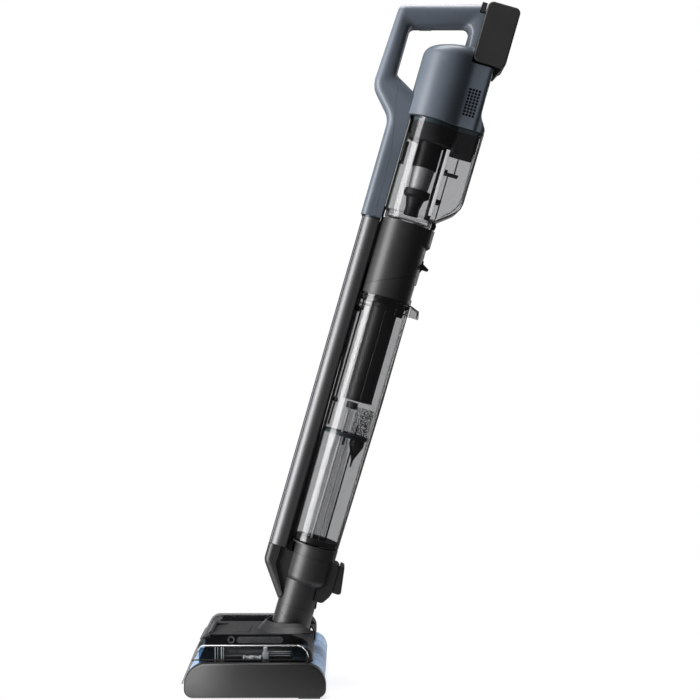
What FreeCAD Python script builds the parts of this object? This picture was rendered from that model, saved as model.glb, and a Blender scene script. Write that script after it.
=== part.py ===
import FreeCAD, Part
import math
import os

import Sketcher
from FreeCAD import Placement, Rotation, Vector

# Cordless wet and dry floor scrubber: a two-roller floor head, a slim spine that leans
# back over it, a clear dirty-water tank on the spine and a hand-held vacuum at the top.
#
# World frame: -X is the front of the machine, +X the user's side, +Z up, floor at Z = 0.
# Everything above the head is drawn upright in a "leaned" frame whose origin is the tilt
# pivot: x runs from front to back, z along the spine. One placement leans it back.

SIZES = {
    # general
    "fit": 0.3,                    # gap between two separate pieces
    "wall": 2.2,                   # moulded wall
    "lean_angle": 16,
    "pivot_x": -105.98,
    "pivot_z": 72,
    # floor head, seen from above and from the side
    "head_x": -150.18,
    "head_width": 284,
    "cap_length": 215,
    "cap_height": 52,
    "cap_lift": 1.5,
    "cap_thickness": 13.5,
    "cap_wall": 3,
    "cap_top_round": 34,
    "cap_foot_round": 13,
    "cap_edge_round": 2.5,
    "skid_length": 33,
    "skid_inset": 9,
    "roller_spacing": 161,
    "roller_radius": 25,
    "sleeve_thickness": 6,
    "core_wall": 2.5,
    "roller_end_gap": 1.5,
    "stub_radius": 5,
    "stub_length": 8,
    "bearing_clearance": 0.05,
    "boss_radius": 9,
    "roller_motor_radius": 13,
    "roller_motor_length": 84,
    "coupler_length": 8,
    "drive_hex_radius": 4,
    "tray_half_length": 58,
    "tray_floor": 3,
    "tray_top": 36,
    "tray_wall": 4,
    "roller_well": 1.5,            # air between a roller and its well
    "tunnel_half_width": 53.7,
    "ear_thickness": 5.5,
    "ear_radius": 10,
    "pin_radius": 5,
    "glide_radius": 7,
    "glide_x": 34,
    "glide_y": 70,
    "end_plate": 2.4,
    "scraper_height": 10,
    "duct_half_width": 26,
    "duct_front": -29,
    "duct_back": 21,
    "skirt": 3,
    "scraper_inner": 40,
    # moulded cover of the head
    "cover_inset": 11,
    "far_cap_inset": 5.5,
    "cover_wall": 2.4,
    "cover_top": 80,
    "cover_lip_x": -32.7,
    "cover_lip_z": 19.5,
    "cover_brow_x": -7.5,
    "cover_brow_round": 18,
    "cover_back_x": 87,
    "cover_back_z": 53,
    "cover_back_round": 20,
    "cover_side_round": 8,
    "cover_seam_x": 52,
    "cover_seam_corner_x": 79,
    "cover_seam_corner_y": 100,
    "cover_front_x": -13.5,
    "cover_front_z": 66,
    "brow_rise": 2.5,
    "brow_length": 17,
    "brow_front_half_width": 44,
    "brow_pit_length": 19,
    "brow_pit_depth": 3.5,
    "hub_x": 49.3,
    "hub_bore": 38.5,
    "hub_lip": 2.4,
    "hub_height": 14,
    "button_x": -29,
    "button_length": 27,
    "button_width": 66,
    "button_rise": 0.8,
    "button_round": 5,
    "button_depth": 6,
    "rail_x": 2.5,
    "rail_length": 72,
    "rail_height": 9,
    "rail_thickness": 3.5,
    "rail_z": 71.5,
    "rail_ring_radius": 4.6,
    "rail_ring_wire": 1.3,
    # neck
    "neck_radius": 30.5,
    "neck_bore": 20,
    "yoke_radius": 22,
    "yoke_half_length": 27,
    "yoke_shoulder": 13,
    "swivel_fall": 0.554,          # drop of the swivel seam for each mm towards the back
    "swivel_height": 22,
    "neck_seam": 47,
    "spigot_radius": 25,
    "spigot_length": 24,
    "neck_throat": 12,
    "swivel_tube_radius": 17,
    "swivel_tube_depth": 6,
    # lower housing
    "tube_top": 88,
    "low_housing_x": 5.3,
    "low_housing_radius": 35.2,
    "low_housing_bottom": 82,
    "low_housing_round": 14,
    "low_housing_top": 130,
    "elbow_round": 20,
    "elbow_edge_round": 11,
    "elbow_inner_x": -50,
    "web_half_width": 14,
    "elbow_bend": 104,
    "elbow_tip_x": -31.5,
    "elbow_tip_z": 51,
    # spine
    "spine_front": -70,
    "spine_back": -41,
    "spine_half_width": 19,
    "spine_bottom": 133,
    "spine_top": 116,
    "spine_wall": 2.4,
    "strip_half_width": 11.5,
    "strip_depth": 5.7,
    "strip_round": 4.5,
    "ring_height": 2.4,
    "ring_proud": 1.2,
    # rail between the spine and the tank
    "rest_inset": 8,
    "rest_half_width": 12,
    # dock block behind the lower housing
    "dock_front": 33,
    "dock_back": 50,
    "dock_top": 129.6,
    "dock_step": 84,
    "dock_foot": 63,
    "dock_half_width": 20,
    "dock_round": 7,
    "contact_back": 57.5,
    "contact_slant": 6.5,
    "contact_round": 4.5,
    "contact_half_width": 18.5,
    "contact_low": 83,
    # head release button
    "head_button_low": 49.5,
    "head_button_high": 61.5,
    "head_button_half_width": 7,
    "head_button_proud": 1.6,
    # dirty-water tank
    "tank_x": 2,
    "tank_top_radius": 42.3,
    "tank_bottom_radius": 38.2,
    "tank_wall": 2.2,
    "tank_bottom": 149.4,
    "tank_shoulder": 395.6,
    "tank_rim": 15,
    "tank_foot_bottom": 130.3,
    "tank_foot_flange": 2,
    "seal_height": 7,
    "grip_back": 61.5,
    "grip_top": -1,
    "grip_bottom": -20,
    "grip_half_width": 12,
    "grip_wall": 2.2,
    "lid_radius": 42,
    "lid_seam_front": 12,
    "lid_seam_back": 34,
    "lid_seam_inset": 6.5,
    "lid_gap": 0.5,
    "lid_hollow": 36.5,
    "notch_depth": 3.4,
    "notch_low": 7,
    "notch_high": 32,
    "notch_half_width": 14,
    "duct_x": 4,
    "duct_radius": 23,
    "duct_bottom": 388,
    "duct_wall": 2,
    "riser_x": -2,
    "riser_foot_radius": 17.2,
    "riser_drop": 37,
    "riser_waist_radius": 15.2,
    "riser_neck_radius": 10.5,
    "riser_top_radius": 6.5,
    "riser_wall": 1.8,
    "riser_top": 384,
    "plate_low": 329,
    "plate_thickness": 5.5,
    "peg_x": 0.5,
    "peg_y": 16.5,
    "peg_radius": 2.2,
    "peg_length": 14,
    "mesh_x": 21,
    "mesh_radius": 15,
    "mesh_top": 379,
    "mesh_wall": 1.4,
    "cone_x": 22.2,
    "cone_radius": 12,
    "cone_skirt": 10,
    "cone_drop": 34,
    "cone_waist_radius": 2,
    "cone_tip_length": 11.6,
    "probe_x": -30.5,
    "probe_radius": 1.6,
    "probe_spacing": 12,
    "probe_top": 378,
    "probe_block": 7,
    # upper housing
    "up_housing_radius": 42,
    "up_housing_wall": 2.6,
    "up_housing_top": 123,
    "collar_radius": 33,
    "collar_x": 16,
    "collar_low": 90,
    "collar_chamfer": 5,
    "inlet_bore": 16,
    "lever_z": 70.2,
    "lever_x": 41.2,
    "lever_half_width": 8,
    "lever_pin": 1.5,
    "lever_tip_x": 56,
    "lever_foot_z": 54.6,
    # hand-held vacuum: frame
    "arm_bottom": -4,
    "arm_front": -73.4,
    "arm_back": -40.4,
    "arm_half_width": 18.5,
    "arm_bend_low": 156,
    "arm_bend_high": 198,
    "arm_bend_round": 34,
    "bow_front": -111.5,
    "bow_back": -78.5,
    "bow_corner_round": 13.5,
    "bow_top_x": -105.5,
    "grip_front_top": 335,
    "grip_front_low": 303.5,
    "hole_front": -79,
    "hole_round": 9,
    "hole_back": 13.5,
    "hole_low_z": 224,
    "web_x": -35,
    "web_z": 199.5,
    "post_back": 29.7,
    "frame_edge_round": 12.5,
    "hole_edge_round": 8,
    "tongue_length": 28,
    "rail_half_width": 9,
    "rail_out": 4.3,
    "rail_low": 4.5,
    "rail_high": 347,
    "trigger_x": -55,
    "trigger_length": 20,
    "trigger_half_width": 7,
    "trigger_depth": 7,
    "trigger_proud": 2,
    # hand-held vacuum: motor housing
    "motor_radius": 47,
    "motor_half_width": 33,
    "motor_back": 67.5,
    "motor_back_round": 8,
    "motor_x": -0.5,
    "motor_blend": 12,
    "motor_wall": 2.6,
    "motor_low": 169,
    "motor_shoulder": 272,
    "dome_front_z": 11,
    "dome_back_z": 16.5,
    "dome_round": 18,
    "flare_back": 80.5,
    "flare_low": 175,
    "flare_high": 194,
    "flare_round": 26,
    "vent_radius": 1.7,
    "vent_pitch": 5.1,
    "vent_x": 40,
    "vent_z": 210,
    "vent_columns": 4,
    "vent_rows": 9,
    "fan_radius": 30,
    "fan_z": 183,
    "fan_height": 9,
    "fan_shaft": 3,
    "fan_hub": 8,
    "fan_blades": 9,
    "engine_radius": 25,
    "engine_low": 199,
    "engine_high": -5.6,
    # battery
    "battery_front": 30,
    "battery_back": 83,
    "battery_low": 3.5,
    "battery_high": 374,
    "battery_half_width": 36.5,
    "battery_round": 9,
    "battery_edge": 2.5,
    "latch_low": 357,
    "latch_high": 373,
    "latch_depth": 9,
    # dust cup
    "cup_radius": 41,
    "cup_half_width": 30,
    "cup_back": 81,
    "cup_back_round": 9,
    "cup_wall": 2,
    "cup_top": 168.6,
    "cup_low": 14,
    "cup_belly_z": 41,
    "cup_belly_round": 35,
    "cup_foot_radius": 38,
    "cup_foot_x": 45,
    "cup_lid_height": 9,
    "cup_lid_low": 3.5,
    "filter_low": 145,
    "filter_high": 162,
    "filter_radius": 36,
    "cyclone_x": 4,
    "cyclone_radius": 20,
    "cyclone_high": 134,
    "cyclone_low": 93,
    "cone_top_radius": 18,
    "cone_low_radius": 16,
    "cone_low": 57,
    "funnel_radius": 21.5,
    "funnel_rim": 47,
    "funnel_neck": 11.5,
    "funnel_neck_z": 28,
    "funnel_shoulder": 15,
    "funnel_base": 12,
    "inlet_pipe_x": 30.8,
    "inlet_pipe_radius": 4.8,
    "filter_block_low": 127,
    "cup_latch_half_width": 7,
    "cup_latch_length": 7,
    "button_travel": 1.5,
}


# Heights that are measured from another height, so that a change carries what stands on it.
MEASURED_FROM = {
    "tank_bottom": ("tank_shoulder",),
    "tank_shoulder": ("tank_rim",),
    "tank_rim": ("grip_top", "grip_bottom", "lid_seam_front", "notch_low", "notch_high",
        "collar_low", "up_housing_top", "lever_z", "lever_foot_z", "spine_top"),
    "lid_seam_front": ("lid_seam_back",),
    "up_housing_top": ("arm_bottom", "arm_bend_low", "arm_bend_high", "grip_front_top",
        "grip_front_low", "hole_low_z", "web_z", "rail_high", "motor_low",
        "motor_shoulder", "flare_low", "flare_high", "vent_z",
        "fan_z", "engine_low", "battery_high", "latch_low",
        "latch_high", "cup_top", "cup_low", "cup_belly_z", "cup_lid_low", "filter_low",
        "filter_high", "cyclone_high", "cyclone_low", "cone_low", "funnel_rim", "funnel_neck_z",
        "filter_block_low"),
    "motor_shoulder": ("dome_front_z", "battery_low", "engine_high",),
    "dome_front_z": ("dome_back_z",),
    "battery_low": ("rail_low",),
}


# the front of the head's cover follows the axle of the front roller
MEASURED_FROM_AXLE = ("cover_lip_x", "cover_brow_x", "cover_front_x")


class Size:
    """A number that remembers the spreadsheet expression it comes from."""

    def __init__(self, number, text):
        self.number = float(number)
        self.text = text

    def __add__(self, other):
        return Size(self.number + number(other), f"({self.text} + {text(other)})")

    def __radd__(self, other):
        return Size(number(other) + self.number, f"({text(other)} + {self.text})")

    def __sub__(self, other):
        return Size(self.number - number(other), f"({self.text} - {text(other)})")

    def __rsub__(self, other):
        return Size(number(other) - self.number, f"({text(other)} - {self.text})")

    def __mul__(self, other):
        return Size(self.number * number(other), f"({self.text} * {text(other)})")

    __rmul__ = __mul__

    def __truediv__(self, other):
        return Size(self.number / number(other), f"({self.text} / {text(other)})")

    def __neg__(self):
        return Size(-self.number, f"(-1 * {self.text})")


def number(value):
    return value.number if isinstance(value, Size) else float(value)


def text(value):
    return value.text if isinstance(value, Size) else repr(float(value))


class Sizes:
    """The spreadsheet: one named cell for each driving size."""

    def __init__(self, document, values):
        self.sheet = document.addObject("Spreadsheet::Sheet", "sizes")
        for row, (alias, value) in enumerate(values.items(), start=1):
            self.sheet.set(f"A{row}", alias.replace("_", " "))
            self.sheet.set(f"B{row}", str(value))
            self.sheet.setAlias(f"B{row}", alias)
        document.recompute()

    def __getattr__(self, alias):
        size = Size(self.sheet.get(alias), f"sizes.{alias}")
        for base, members in MEASURED_FROM.items():
            if alias in members:
                return getattr(self, base) + size
        if alias in MEASURED_FROM_AXLE:
            return size - self.roller_spacing / 2
        return size


doc = FreeCAD.newDocument("floor_scrubber")
S = Sizes(doc, SIZES)
nodes = []


def bind(thing, path, value):
    """Bind one property of an object to a size."""
    thing.setExpression(path, text(value))


def keep(thing, label):
    """Give a finished piece its name and put it on the list of pieces to write."""
    thing.Label = label
    nodes.append(thing)
    return thing


def level(thing, x=0, y=0, z=0):
    """Place a piece of the head, which stands level on the floor."""
    for axis, value in zip("xyz", (x, y, z)):
        bind(thing, f"Placement.Base.{axis}", value)
    return thing


sin_lean = Size(math.sin(math.radians(number(S.lean_angle))), "sin(sizes.lean_angle)")
cos_lean = Size(math.cos(math.radians(number(S.lean_angle))), "cos(sizes.lean_angle)")
tan_lean = Size(math.tan(math.radians(number(S.lean_angle))), "tan(sizes.lean_angle)")


def times(one, other):
    """The product of two sizes."""
    return Size(one.number * other.number, f"({one.text} * {other.text})")


def turned_about_y(thing, angle, x, z):
    """Place a piece at (x, z), turned about the Y axis so that +Z leans towards +X."""
    thing.Placement = Placement(Vector(), Rotation(Vector(0, 1, 0), number(angle)))
    bind(thing, "Placement.Rotation.Angle", angle)
    bind(thing, "Placement.Base.x", x)
    bind(thing, "Placement.Base.z", z)
    return thing


def leaned(thing, x=None):
    """Place a piece that leans back about the tilt pivot, or about x in the leaned frame."""
    x = 0 * S.fit if x is None else x
    return turned_about_y(thing, S.lean_angle, S.pivot_x + times(x, cos_lean),
                          S.pivot_z - times(x, sin_lean))


# ---------------------------------------------------------------- sketch helpers

def new_body(name):
    return doc.addObject("PartDesign::Body", name)


def new_sketch(body, plane, offset=0):
    """An empty sketch on one of the body's own planes, moved along its normal."""
    sketch = body.newObject("Sketcher::SketchObject", f"{body.Name}_{plane}_sketch")
    role = f"{plane}_Plane"
    flat = [feature for feature in body.Origin.OriginFeatures if feature.Role == role][0]
    sketch.AttachmentSupport = [(flat, "")]
    sketch.MapMode = "FlatFace"
    bind(sketch, "AttachmentOffset.Base.z", offset)
    return sketch


def pin_down(sketch, geometry, point, x, y):
    """Hold one point of a sketch at an x and a y that come from the sheet."""
    for kind, value in (("DistanceX", x), ("DistanceY", y)):
        index = sketch.addConstraint(
            Sketcher.Constraint(kind, -1, 1, geometry, point, number(value)))
        bind(sketch, f"Constraints[{index}]", value)


def corner_arc(before, corner, after, radius):
    """Where an arc of this radius leaves and meets the two lines of a corner."""
    back = (before - corner).normalize()
    ahead = (after - corner).normalize()
    half = back.getAngle(ahead) / 2
    reach = radius / math.tan(half)
    middle = corner + (back + ahead).normalize() * (radius / math.sin(half))
    return corner + back * reach, corner + ahead * reach, middle


def outline(sketch, corners, closed=True):
    """Straight lines through corners (x, y, radius); a radius rounds the corner."""
    spots = [Vector(number(x), number(y), 0) for x, y, *_ in corners]
    rounds = [corner[2] if len(corner) > 2 else None for corner in corners]
    count = len(corners)
    last = count if closed else count - 1
    starts = {}
    ends = {}
    arcs = {}
    for index, spot in enumerate(spots):
        if rounds[index] is None:
            starts[index] = ends[index] = spot
            continue
        leave, meet, middle = corner_arc(spots[index - 1], spot, spots[(index + 1) % count],
                                         number(rounds[index]))
        ends[index] = leave
        starts[index] = meet
        arcs[index] = middle
    lines = {}
    for index in range(last):
        follower = (index + 1) % count
        lines[index] = sketch.addGeometry(Part.LineSegment(starts[index], ends[follower]))
    for index, (x, y, *_) in enumerate(corners):
        before = lines.get((index - 1) % count if closed else index - 1)
        after = lines.get(index)
        if rounds[index] is None:
            if after is not None:
                pin_down(sketch, after, 1, x, y)
                if before is not None:
                    sketch.addConstraint(Sketcher.Constraint("Coincident", before, 2, after, 1))
            else:
                pin_down(sketch, before, 2, x, y)
            continue
        spot = sketch.addGeometry(Part.Point(spots[index]), True)
        pin_down(sketch, spot, 1, x, y)
        sketch.addConstraint(Sketcher.Constraint("PointOnObject", spot, 1, before))
        sketch.addConstraint(Sketcher.Constraint("PointOnObject", spot, 1, after))
        middle = arcs[index]
        radius = number(rounds[index])
        turn = (spots[index] - spots[index - 1]).cross(spots[(index + 1) % count] - spots[index]).z
        first, second = (ends[index], starts[index]) if turn > 0 else (starts[index], ends[index])
        angles = [math.atan2(p.y - middle.y, p.x - middle.x) for p in (first, second)]
        circle = Part.Circle(middle, Vector(0, 0, 1), radius)
        arc = sketch.addGeometry(Part.ArcOfCircle(circle, *angles))
        near, far = (1, 2) if turn > 0 else (2, 1)
        sketch.addConstraint(Sketcher.Constraint("Tangent", before, 2, arc, near))
        sketch.addConstraint(Sketcher.Constraint("Tangent", arc, far, after, 1))
        index_of = sketch.addConstraint(Sketcher.Constraint("Radius", arc, radius))
        bind(sketch, f"Constraints[{index_of}]", rounds[index])
    return sketch


def circle(sketch, x, y, radius):
    middle = Vector(number(x), number(y), 0)
    geometry = sketch.addGeometry(Part.Circle(middle, Vector(0, 0, 1), number(radius)))
    pin_down(sketch, geometry, 3, x, y)
    index = sketch.addConstraint(Sketcher.Constraint("Radius", geometry, number(radius)))
    bind(sketch, f"Constraints[{index}]", radius)
    return sketch


def box(x_low, x_high, y_low, y_high, corner=None):
    """The four corners of a rectangle, for an outline."""
    rounding = () if corner is None else (corner,)
    return [(x_low, y_low, *rounding), (x_high, y_low, *rounding),
            (x_high, y_high, *rounding), (x_low, y_high, *rounding)]


def d_shape(front, back, half_width, back_corner=None):
    """A half-round front and a flat or rounded back, seen from above."""
    rear = (back_corner,) if back_corner is not None else ()
    nose = half_width - S.fit
    return [(front, -half_width, nose), (back, -half_width, *rear),
            (back, half_width, *rear), (front, half_width, nose)]


# ---------------------------------------------------------------- solid helpers

def sweep(body, kind, plane, low, high, draw, *shapes):
    """Add (Pad) or cut (Pocket) a prism from low to high along a plane's axis."""
    length = high - low
    # the XZ plane's normal points to -Y, and a pocket runs against the normal
    towards_low = (plane == "XZ") != (kind == "PartDesign::Pocket")
    start = high if towards_low else low
    sketch = new_sketch(body, plane, -start if plane == "XZ" else start)
    for shape in shapes:
        draw(sketch, *shape)
    feature = body.newObject(kind, f"{body.Name}_{kind[12:].lower()}")
    feature.Profile = sketch
    bind(feature, "Length", length)
    return feature


def pad(body, plane, low, high, corners):
    return sweep(body, "PartDesign::Pad", plane, low, high, outline, (corners,))


def pocket(body, plane, low, high, corners):
    return sweep(body, "PartDesign::Pocket", plane, low, high, outline, (corners,))


def rod(body, plane, low, high, *circles):
    return sweep(body, "PartDesign::Pad", plane, low, high, circle, *circles)


def bore(body, plane, low, high, *circles):
    return sweep(body, "PartDesign::Pocket", plane, low, high, circle, *circles)


def turned(body, plane, corners, kind="PartDesign::Revolution"):
    """Turn a profile about the second axis of its sketch."""
    sketch = outline(new_sketch(body, plane), corners)
    feature = body.newObject(kind, f"{body.Name}_{kind[12:].lower()}")
    feature.Profile = sketch
    feature.ReferenceAxis = (sketch, ["V_Axis"])
    feature.Angle = 360
    return feature


def dress(body, kind, wanted, size, size_name):
    """Round or chamfer the edges of the body's last feature that a test picks."""
    doc.recompute()
    base = body.Tip
    names = [f"Edge{index}" for index, edge in enumerate(base.Shape.Edges, start=1)
             if wanted(edge)]
    if not names:
        raise ValueError(f"{body.Name}: no edge to dress")
    feature = body.newObject(kind, f"{body.Name}_{kind[12:].lower()}")
    feature.Base = (base, names)
    bind(feature, size_name, size)
    return feature


def fillet(body, radius, wanted):
    return dress(body, "PartDesign::Fillet", wanted, radius, "Radius")


def chamfer(body, size, wanted):
    return dress(body, "PartDesign::Chamfer", wanted, size, "Size")


def lies_at(edge, axis, value, slack=0.01):
    """True for an edge that lies wholly at one height along an axis."""
    low = getattr(edge.BoundBox, f"{axis}Min")
    high = getattr(edge.BoundBox, f"{axis}Max")
    return abs(low - number(value)) < slack and abs(high - number(value)) < slack


def combined(kind, label, base, *tools):
    """A Part boolean of finished bodies."""
    result = doc.addObject(f"Part::{kind}", label)
    if kind == "Cut":
        result.Base = base
        result.Tool = tools[0]
    else:
        result.Shapes = [base, *tools]
    return result


# ---------------------------------------------------------------- floor head

half_head = S.head_width / 2
half_cap = S.cap_length / 2
cap_inner = half_head - S.cap_thickness
cap_top = S.cap_lift + S.cap_height
tray_end = cap_inner - S.fit
far_plate = tray_end - S.end_plate
near_roller_end = cap_inner - S.roller_end_gap
far_roller_end = far_plate - S.roller_end_gap
half_spacing = S.roller_spacing / 2
core_radius = S.roller_radius - S.sleeve_thickness
core_bore = core_radius - S.core_wall
pivot_in_head = S.pivot_x - S.head_x


def cap_outline(inset):
    """Side view of the head's end cap, drawn in by an inset."""
    return [(-half_cap + inset, S.cap_lift + inset, S.cap_foot_round - inset),
            (half_cap - inset, S.cap_lift + inset, S.cap_foot_round - inset),
            (half_cap - inset, cap_top - inset, S.cap_top_round - inset),
            (-half_cap + inset, cap_top - inset, S.cap_top_round - inset)]


def end_cap(side, label):
    """A hollow side cap; the near one carries the sockets that the rollers run in."""
    body = new_body(label)
    inner, outer = side * cap_inner, side * half_head
    low, high = (inner, outer) if side > 0 else (outer, inner)
    drawn_in = 0 * S.fit if side < 0 else S.far_cap_inset
    pad(body, "XZ", low, high, cap_outline(drawn_in))
    fillet(body, S.cap_edge_round, lambda edge: lies_at(edge, "Y", outer))
    floor = outer - side * S.cap_wall
    hollow = (inner, floor) if side > 0 else (floor, inner)
    pocket(body, "XZ", *hollow, cap_outline(S.cap_wall + drawn_in))
    skid_back = half_cap - S.skid_inset
    pad(body, "XZ", low + S.cap_wall if side < 0 else low, high if side < 0 else high - S.cap_wall,
        box(skid_back - S.skid_length, skid_back, 0 * S.fit,
            S.cap_lift + S.cap_wall / 2 + drawn_in))
    if side < 0:
        sockets = [(x, S.roller_radius) for x in (-half_spacing, half_spacing)]
        rod(body, "XZ", floor - 1, inner, *[(x, z, S.boss_radius) for x, z in sockets])
        bore(body, "XZ", floor, inner,
             *[(x, z, S.stub_radius + S.bearing_clearance) for x, z in sockets])
    return keep(level(body, S.head_x), label)


def chassis():
    """The tray between the rollers, with the wells, the tilt ears and the far end plate."""
    body = new_body("chassis")
    pad(body, "XZ", -tray_end, tray_end,
        box(-S.tray_half_length, S.tray_half_length, S.tray_floor, S.tray_top))
    well = S.roller_radius + S.roller_well
    bore(body, "XZ", -tray_end, tray_end,
         (-half_spacing, S.roller_radius, well), (half_spacing, S.roller_radius, well))
    bay = half_spacing - well - S.tray_wall
    for side in (-1, 1):
        edges = sorted((side * S.tunnel_half_width, side * (far_plate - S.tray_wall)), key=number)
        pocket(body, "XY", S.tray_floor + S.tray_wall, S.tray_top, box(-bay, bay, *edges))
    pocket(body, "XY", S.tray_floor, S.tray_top,
           box(S.duct_front - S.fit, S.duct_back + S.fit,
               -S.duct_half_width - S.fit, S.duct_half_width + S.fit))
    ear_in = S.yoke_half_length + S.fit
    ear = [(pivot_in_head - S.ear_radius, S.tray_top - S.tray_wall),
           (pivot_in_head + S.ear_radius - S.tray_wall, S.tray_top - S.tray_wall),
           (pivot_in_head + S.ear_radius, S.tray_top + S.tray_wall),
           (pivot_in_head + S.ear_radius, S.pivot_z + S.ear_radius, S.ear_radius - S.fit),
           (pivot_in_head - S.ear_radius, S.pivot_z + S.ear_radius, S.ear_radius - S.fit)]
    pad(body, "XZ", ear_in, ear_in + S.ear_thickness, ear)
    pad(body, "XZ", -ear_in - S.ear_thickness, -ear_in, ear)
    bore(body, "XZ", -ear_in - S.ear_thickness, ear_in + S.ear_thickness,
         (pivot_in_head, S.pivot_z, S.pin_radius + S.bearing_clearance))
    pad(body, "XZ", far_plate, tray_end, cap_outline(S.cap_wall + S.fit))
    for x in (-S.glide_x, S.glide_x):
        for y in (-S.glide_y, S.glide_y):
            rod(body, "XY", 0 * S.fit, S.tray_floor + S.fit, (x, y, S.glide_radius))
    return keep(level(body, S.head_x), "head_chassis")


def roller(x, name):
    """One roller: hollow core, microfibre sleeve and the coupler that drives it."""
    core = new_body(f"{name}_core")
    stub_end = -cap_inner - S.stub_length
    end_wall = S.tray_wall
    turned(core, "XY", [
        (0 * S.fit, stub_end), (S.stub_radius, stub_end), (S.stub_radius, -near_roller_end),
        (core_radius, -near_roller_end), (core_radius, far_roller_end),
        (core_bore, far_roller_end), (core_bore, -near_roller_end + end_wall),
        (0 * S.fit, -near_roller_end + end_wall)])
    sleeve = new_body(f"{name}_sleeve")
    inside = core_radius + S.bearing_clearance
    turned(sleeve, "XY", [
        (inside, -near_roller_end + 1), (S.roller_radius, -near_roller_end + 1),
        (S.roller_radius, far_roller_end - 1), (inside, far_roller_end - 1)])
    motor_face = far_plate - S.roller_motor_length
    disc_far = motor_face - S.fit * 10
    disc_near = disc_far - S.coupler_length
    shaft_end = motor_face + S.coupler_length
    coupler = new_body(f"{name}_coupler")
    turned(coupler, "XY", [
        (0 * S.fit, disc_near), (core_bore - S.bearing_clearance, disc_near),
        (core_bore - S.bearing_clearance, disc_far), (S.drive_hex_radius, disc_far),
        (S.drive_hex_radius, shaft_end), (0 * S.fit, shaft_end)])
    motor = new_body(f"{name}_motor")
    socket = S.drive_hex_radius + S.bearing_clearance
    turned(motor, "XY", [
        (socket, motor_face), (S.roller_motor_radius, motor_face),
        (S.roller_motor_radius, far_plate), (0 * S.fit, far_plate),
        (0 * S.fit, shaft_end + 1), (socket, shaft_end + 1)])
    for piece, label in ((core, "core"), (sleeve, "sleeve"), (coupler, "coupler"),
                         (motor, "motor")):
        keep(level(piece, S.head_x + x, 0 * S.fit, S.roller_radius), f"{name}_{label}")


def suction_duct():
    """The duct that lifts dirty water from the floor slot to the neck."""
    body = new_body("suction_duct")
    wall = S.wall + S.fit
    shape = [(S.duct_front, S.tray_floor + S.fit), (S.duct_back, S.tray_floor + S.fit),
             (S.duct_back, S.tray_top + 1), (pivot_in_head - 4, S.tray_top + 8),
             (pivot_in_head - 32, S.tray_top + 14),
             (S.duct_front, S.tray_floor + 12)]
    pad(body, "XZ", -S.duct_half_width, S.duct_half_width, shape)
    hollow = [(S.duct_front + wall, S.tray_floor), (S.duct_back - wall, S.tray_floor),
              (S.duct_back - wall, S.tray_top + 3), (pivot_in_head - 4 - wall, S.tray_top + 14),
              (pivot_in_head - 29, S.tray_top + 20),
              (S.duct_front + wall, S.tray_floor + 10)]
    pocket(body, "XZ", -S.duct_half_width + wall, S.duct_half_width - wall, hollow)
    return keep(level(body, S.head_x), "suction_duct")


def scraper(side, label):
    """Two rubber strips that squeeze the dirty water out of one roller."""
    strips = []
    edge = half_spacing - S.roller_radius
    for end, (low, high) in enumerate(((-far_plate + 4, -S.scraper_inner),
                                       (S.scraper_inner, far_plate - 4))):
        body = new_body(f"{label}_{end}")
        pad(body, "XZ", low, high, [
            (side * (edge - 0.8), S.tray_top), (side * (edge + 0.7), S.tray_top),
            (side * (edge + 7.4), S.tray_top + S.scraper_height - 0.6),
            (side * (edge + 5.2), S.tray_top + S.scraper_height + 1)])
        strips.append(level(body, S.head_x))
    group = doc.addObject("Part::Compound", label)
    group.Links = strips
    return keep(group, label)


def rail():
    """The two bright water rails on the sides of the tunnel, each with its ring."""
    links = []
    seat = S.tunnel_half_width + S.fit / 3
    for side, name in ((-1, "near"), (1, "far")):
        body = new_body(f"{name}_rail")
        low, high = sorted((side * seat, side * (seat + S.rail_thickness)), key=number)
        half_length, half_height = S.rail_length / 2, S.rail_height / 2
        pad(body, "XZ", low, high,
            box(S.rail_x - half_length, S.rail_x + half_length, S.rail_z - half_height,
                S.rail_z + half_height, half_height - S.fit))
        ring = doc.addObject("Part::Torus", f"{name}_ring")
        bind(ring, "Radius1", S.rail_ring_radius)
        bind(ring, "Radius2", S.rail_ring_wire)
        ring.Placement.Rotation = Rotation(Vector(1, 0, 0), 90)
        level(ring, S.head_x + S.rail_x - half_length - 2 * S.rail_ring_radius,
              side * (seat + S.rail_ring_wire), S.rail_z)
        links += [level(body, S.head_x), ring]
    group = doc.addObject("Part::Compound", "water_rails")
    group.Links = links
    return keep(group, "water_rails")


def tilt_pins():
    """The two pins that the neck tilts on."""
    links = []
    outer = S.yoke_half_length + S.fit + S.ear_thickness
    for side in (-1, 1):
        body = new_body("pin_near" if side < 0 else "pin_far")
        low, high = sorted((side * (S.neck_bore + 1), side * outer), key=number)
        rod(body, "XZ", low, high, (pivot_in_head, S.pivot_z, S.pin_radius))
        links.append(level(body, S.head_x))
    group = doc.addObject("Part::Compound", "tilt_pins")
    group.Links = links
    return keep(group, "tilt_pins")


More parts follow.
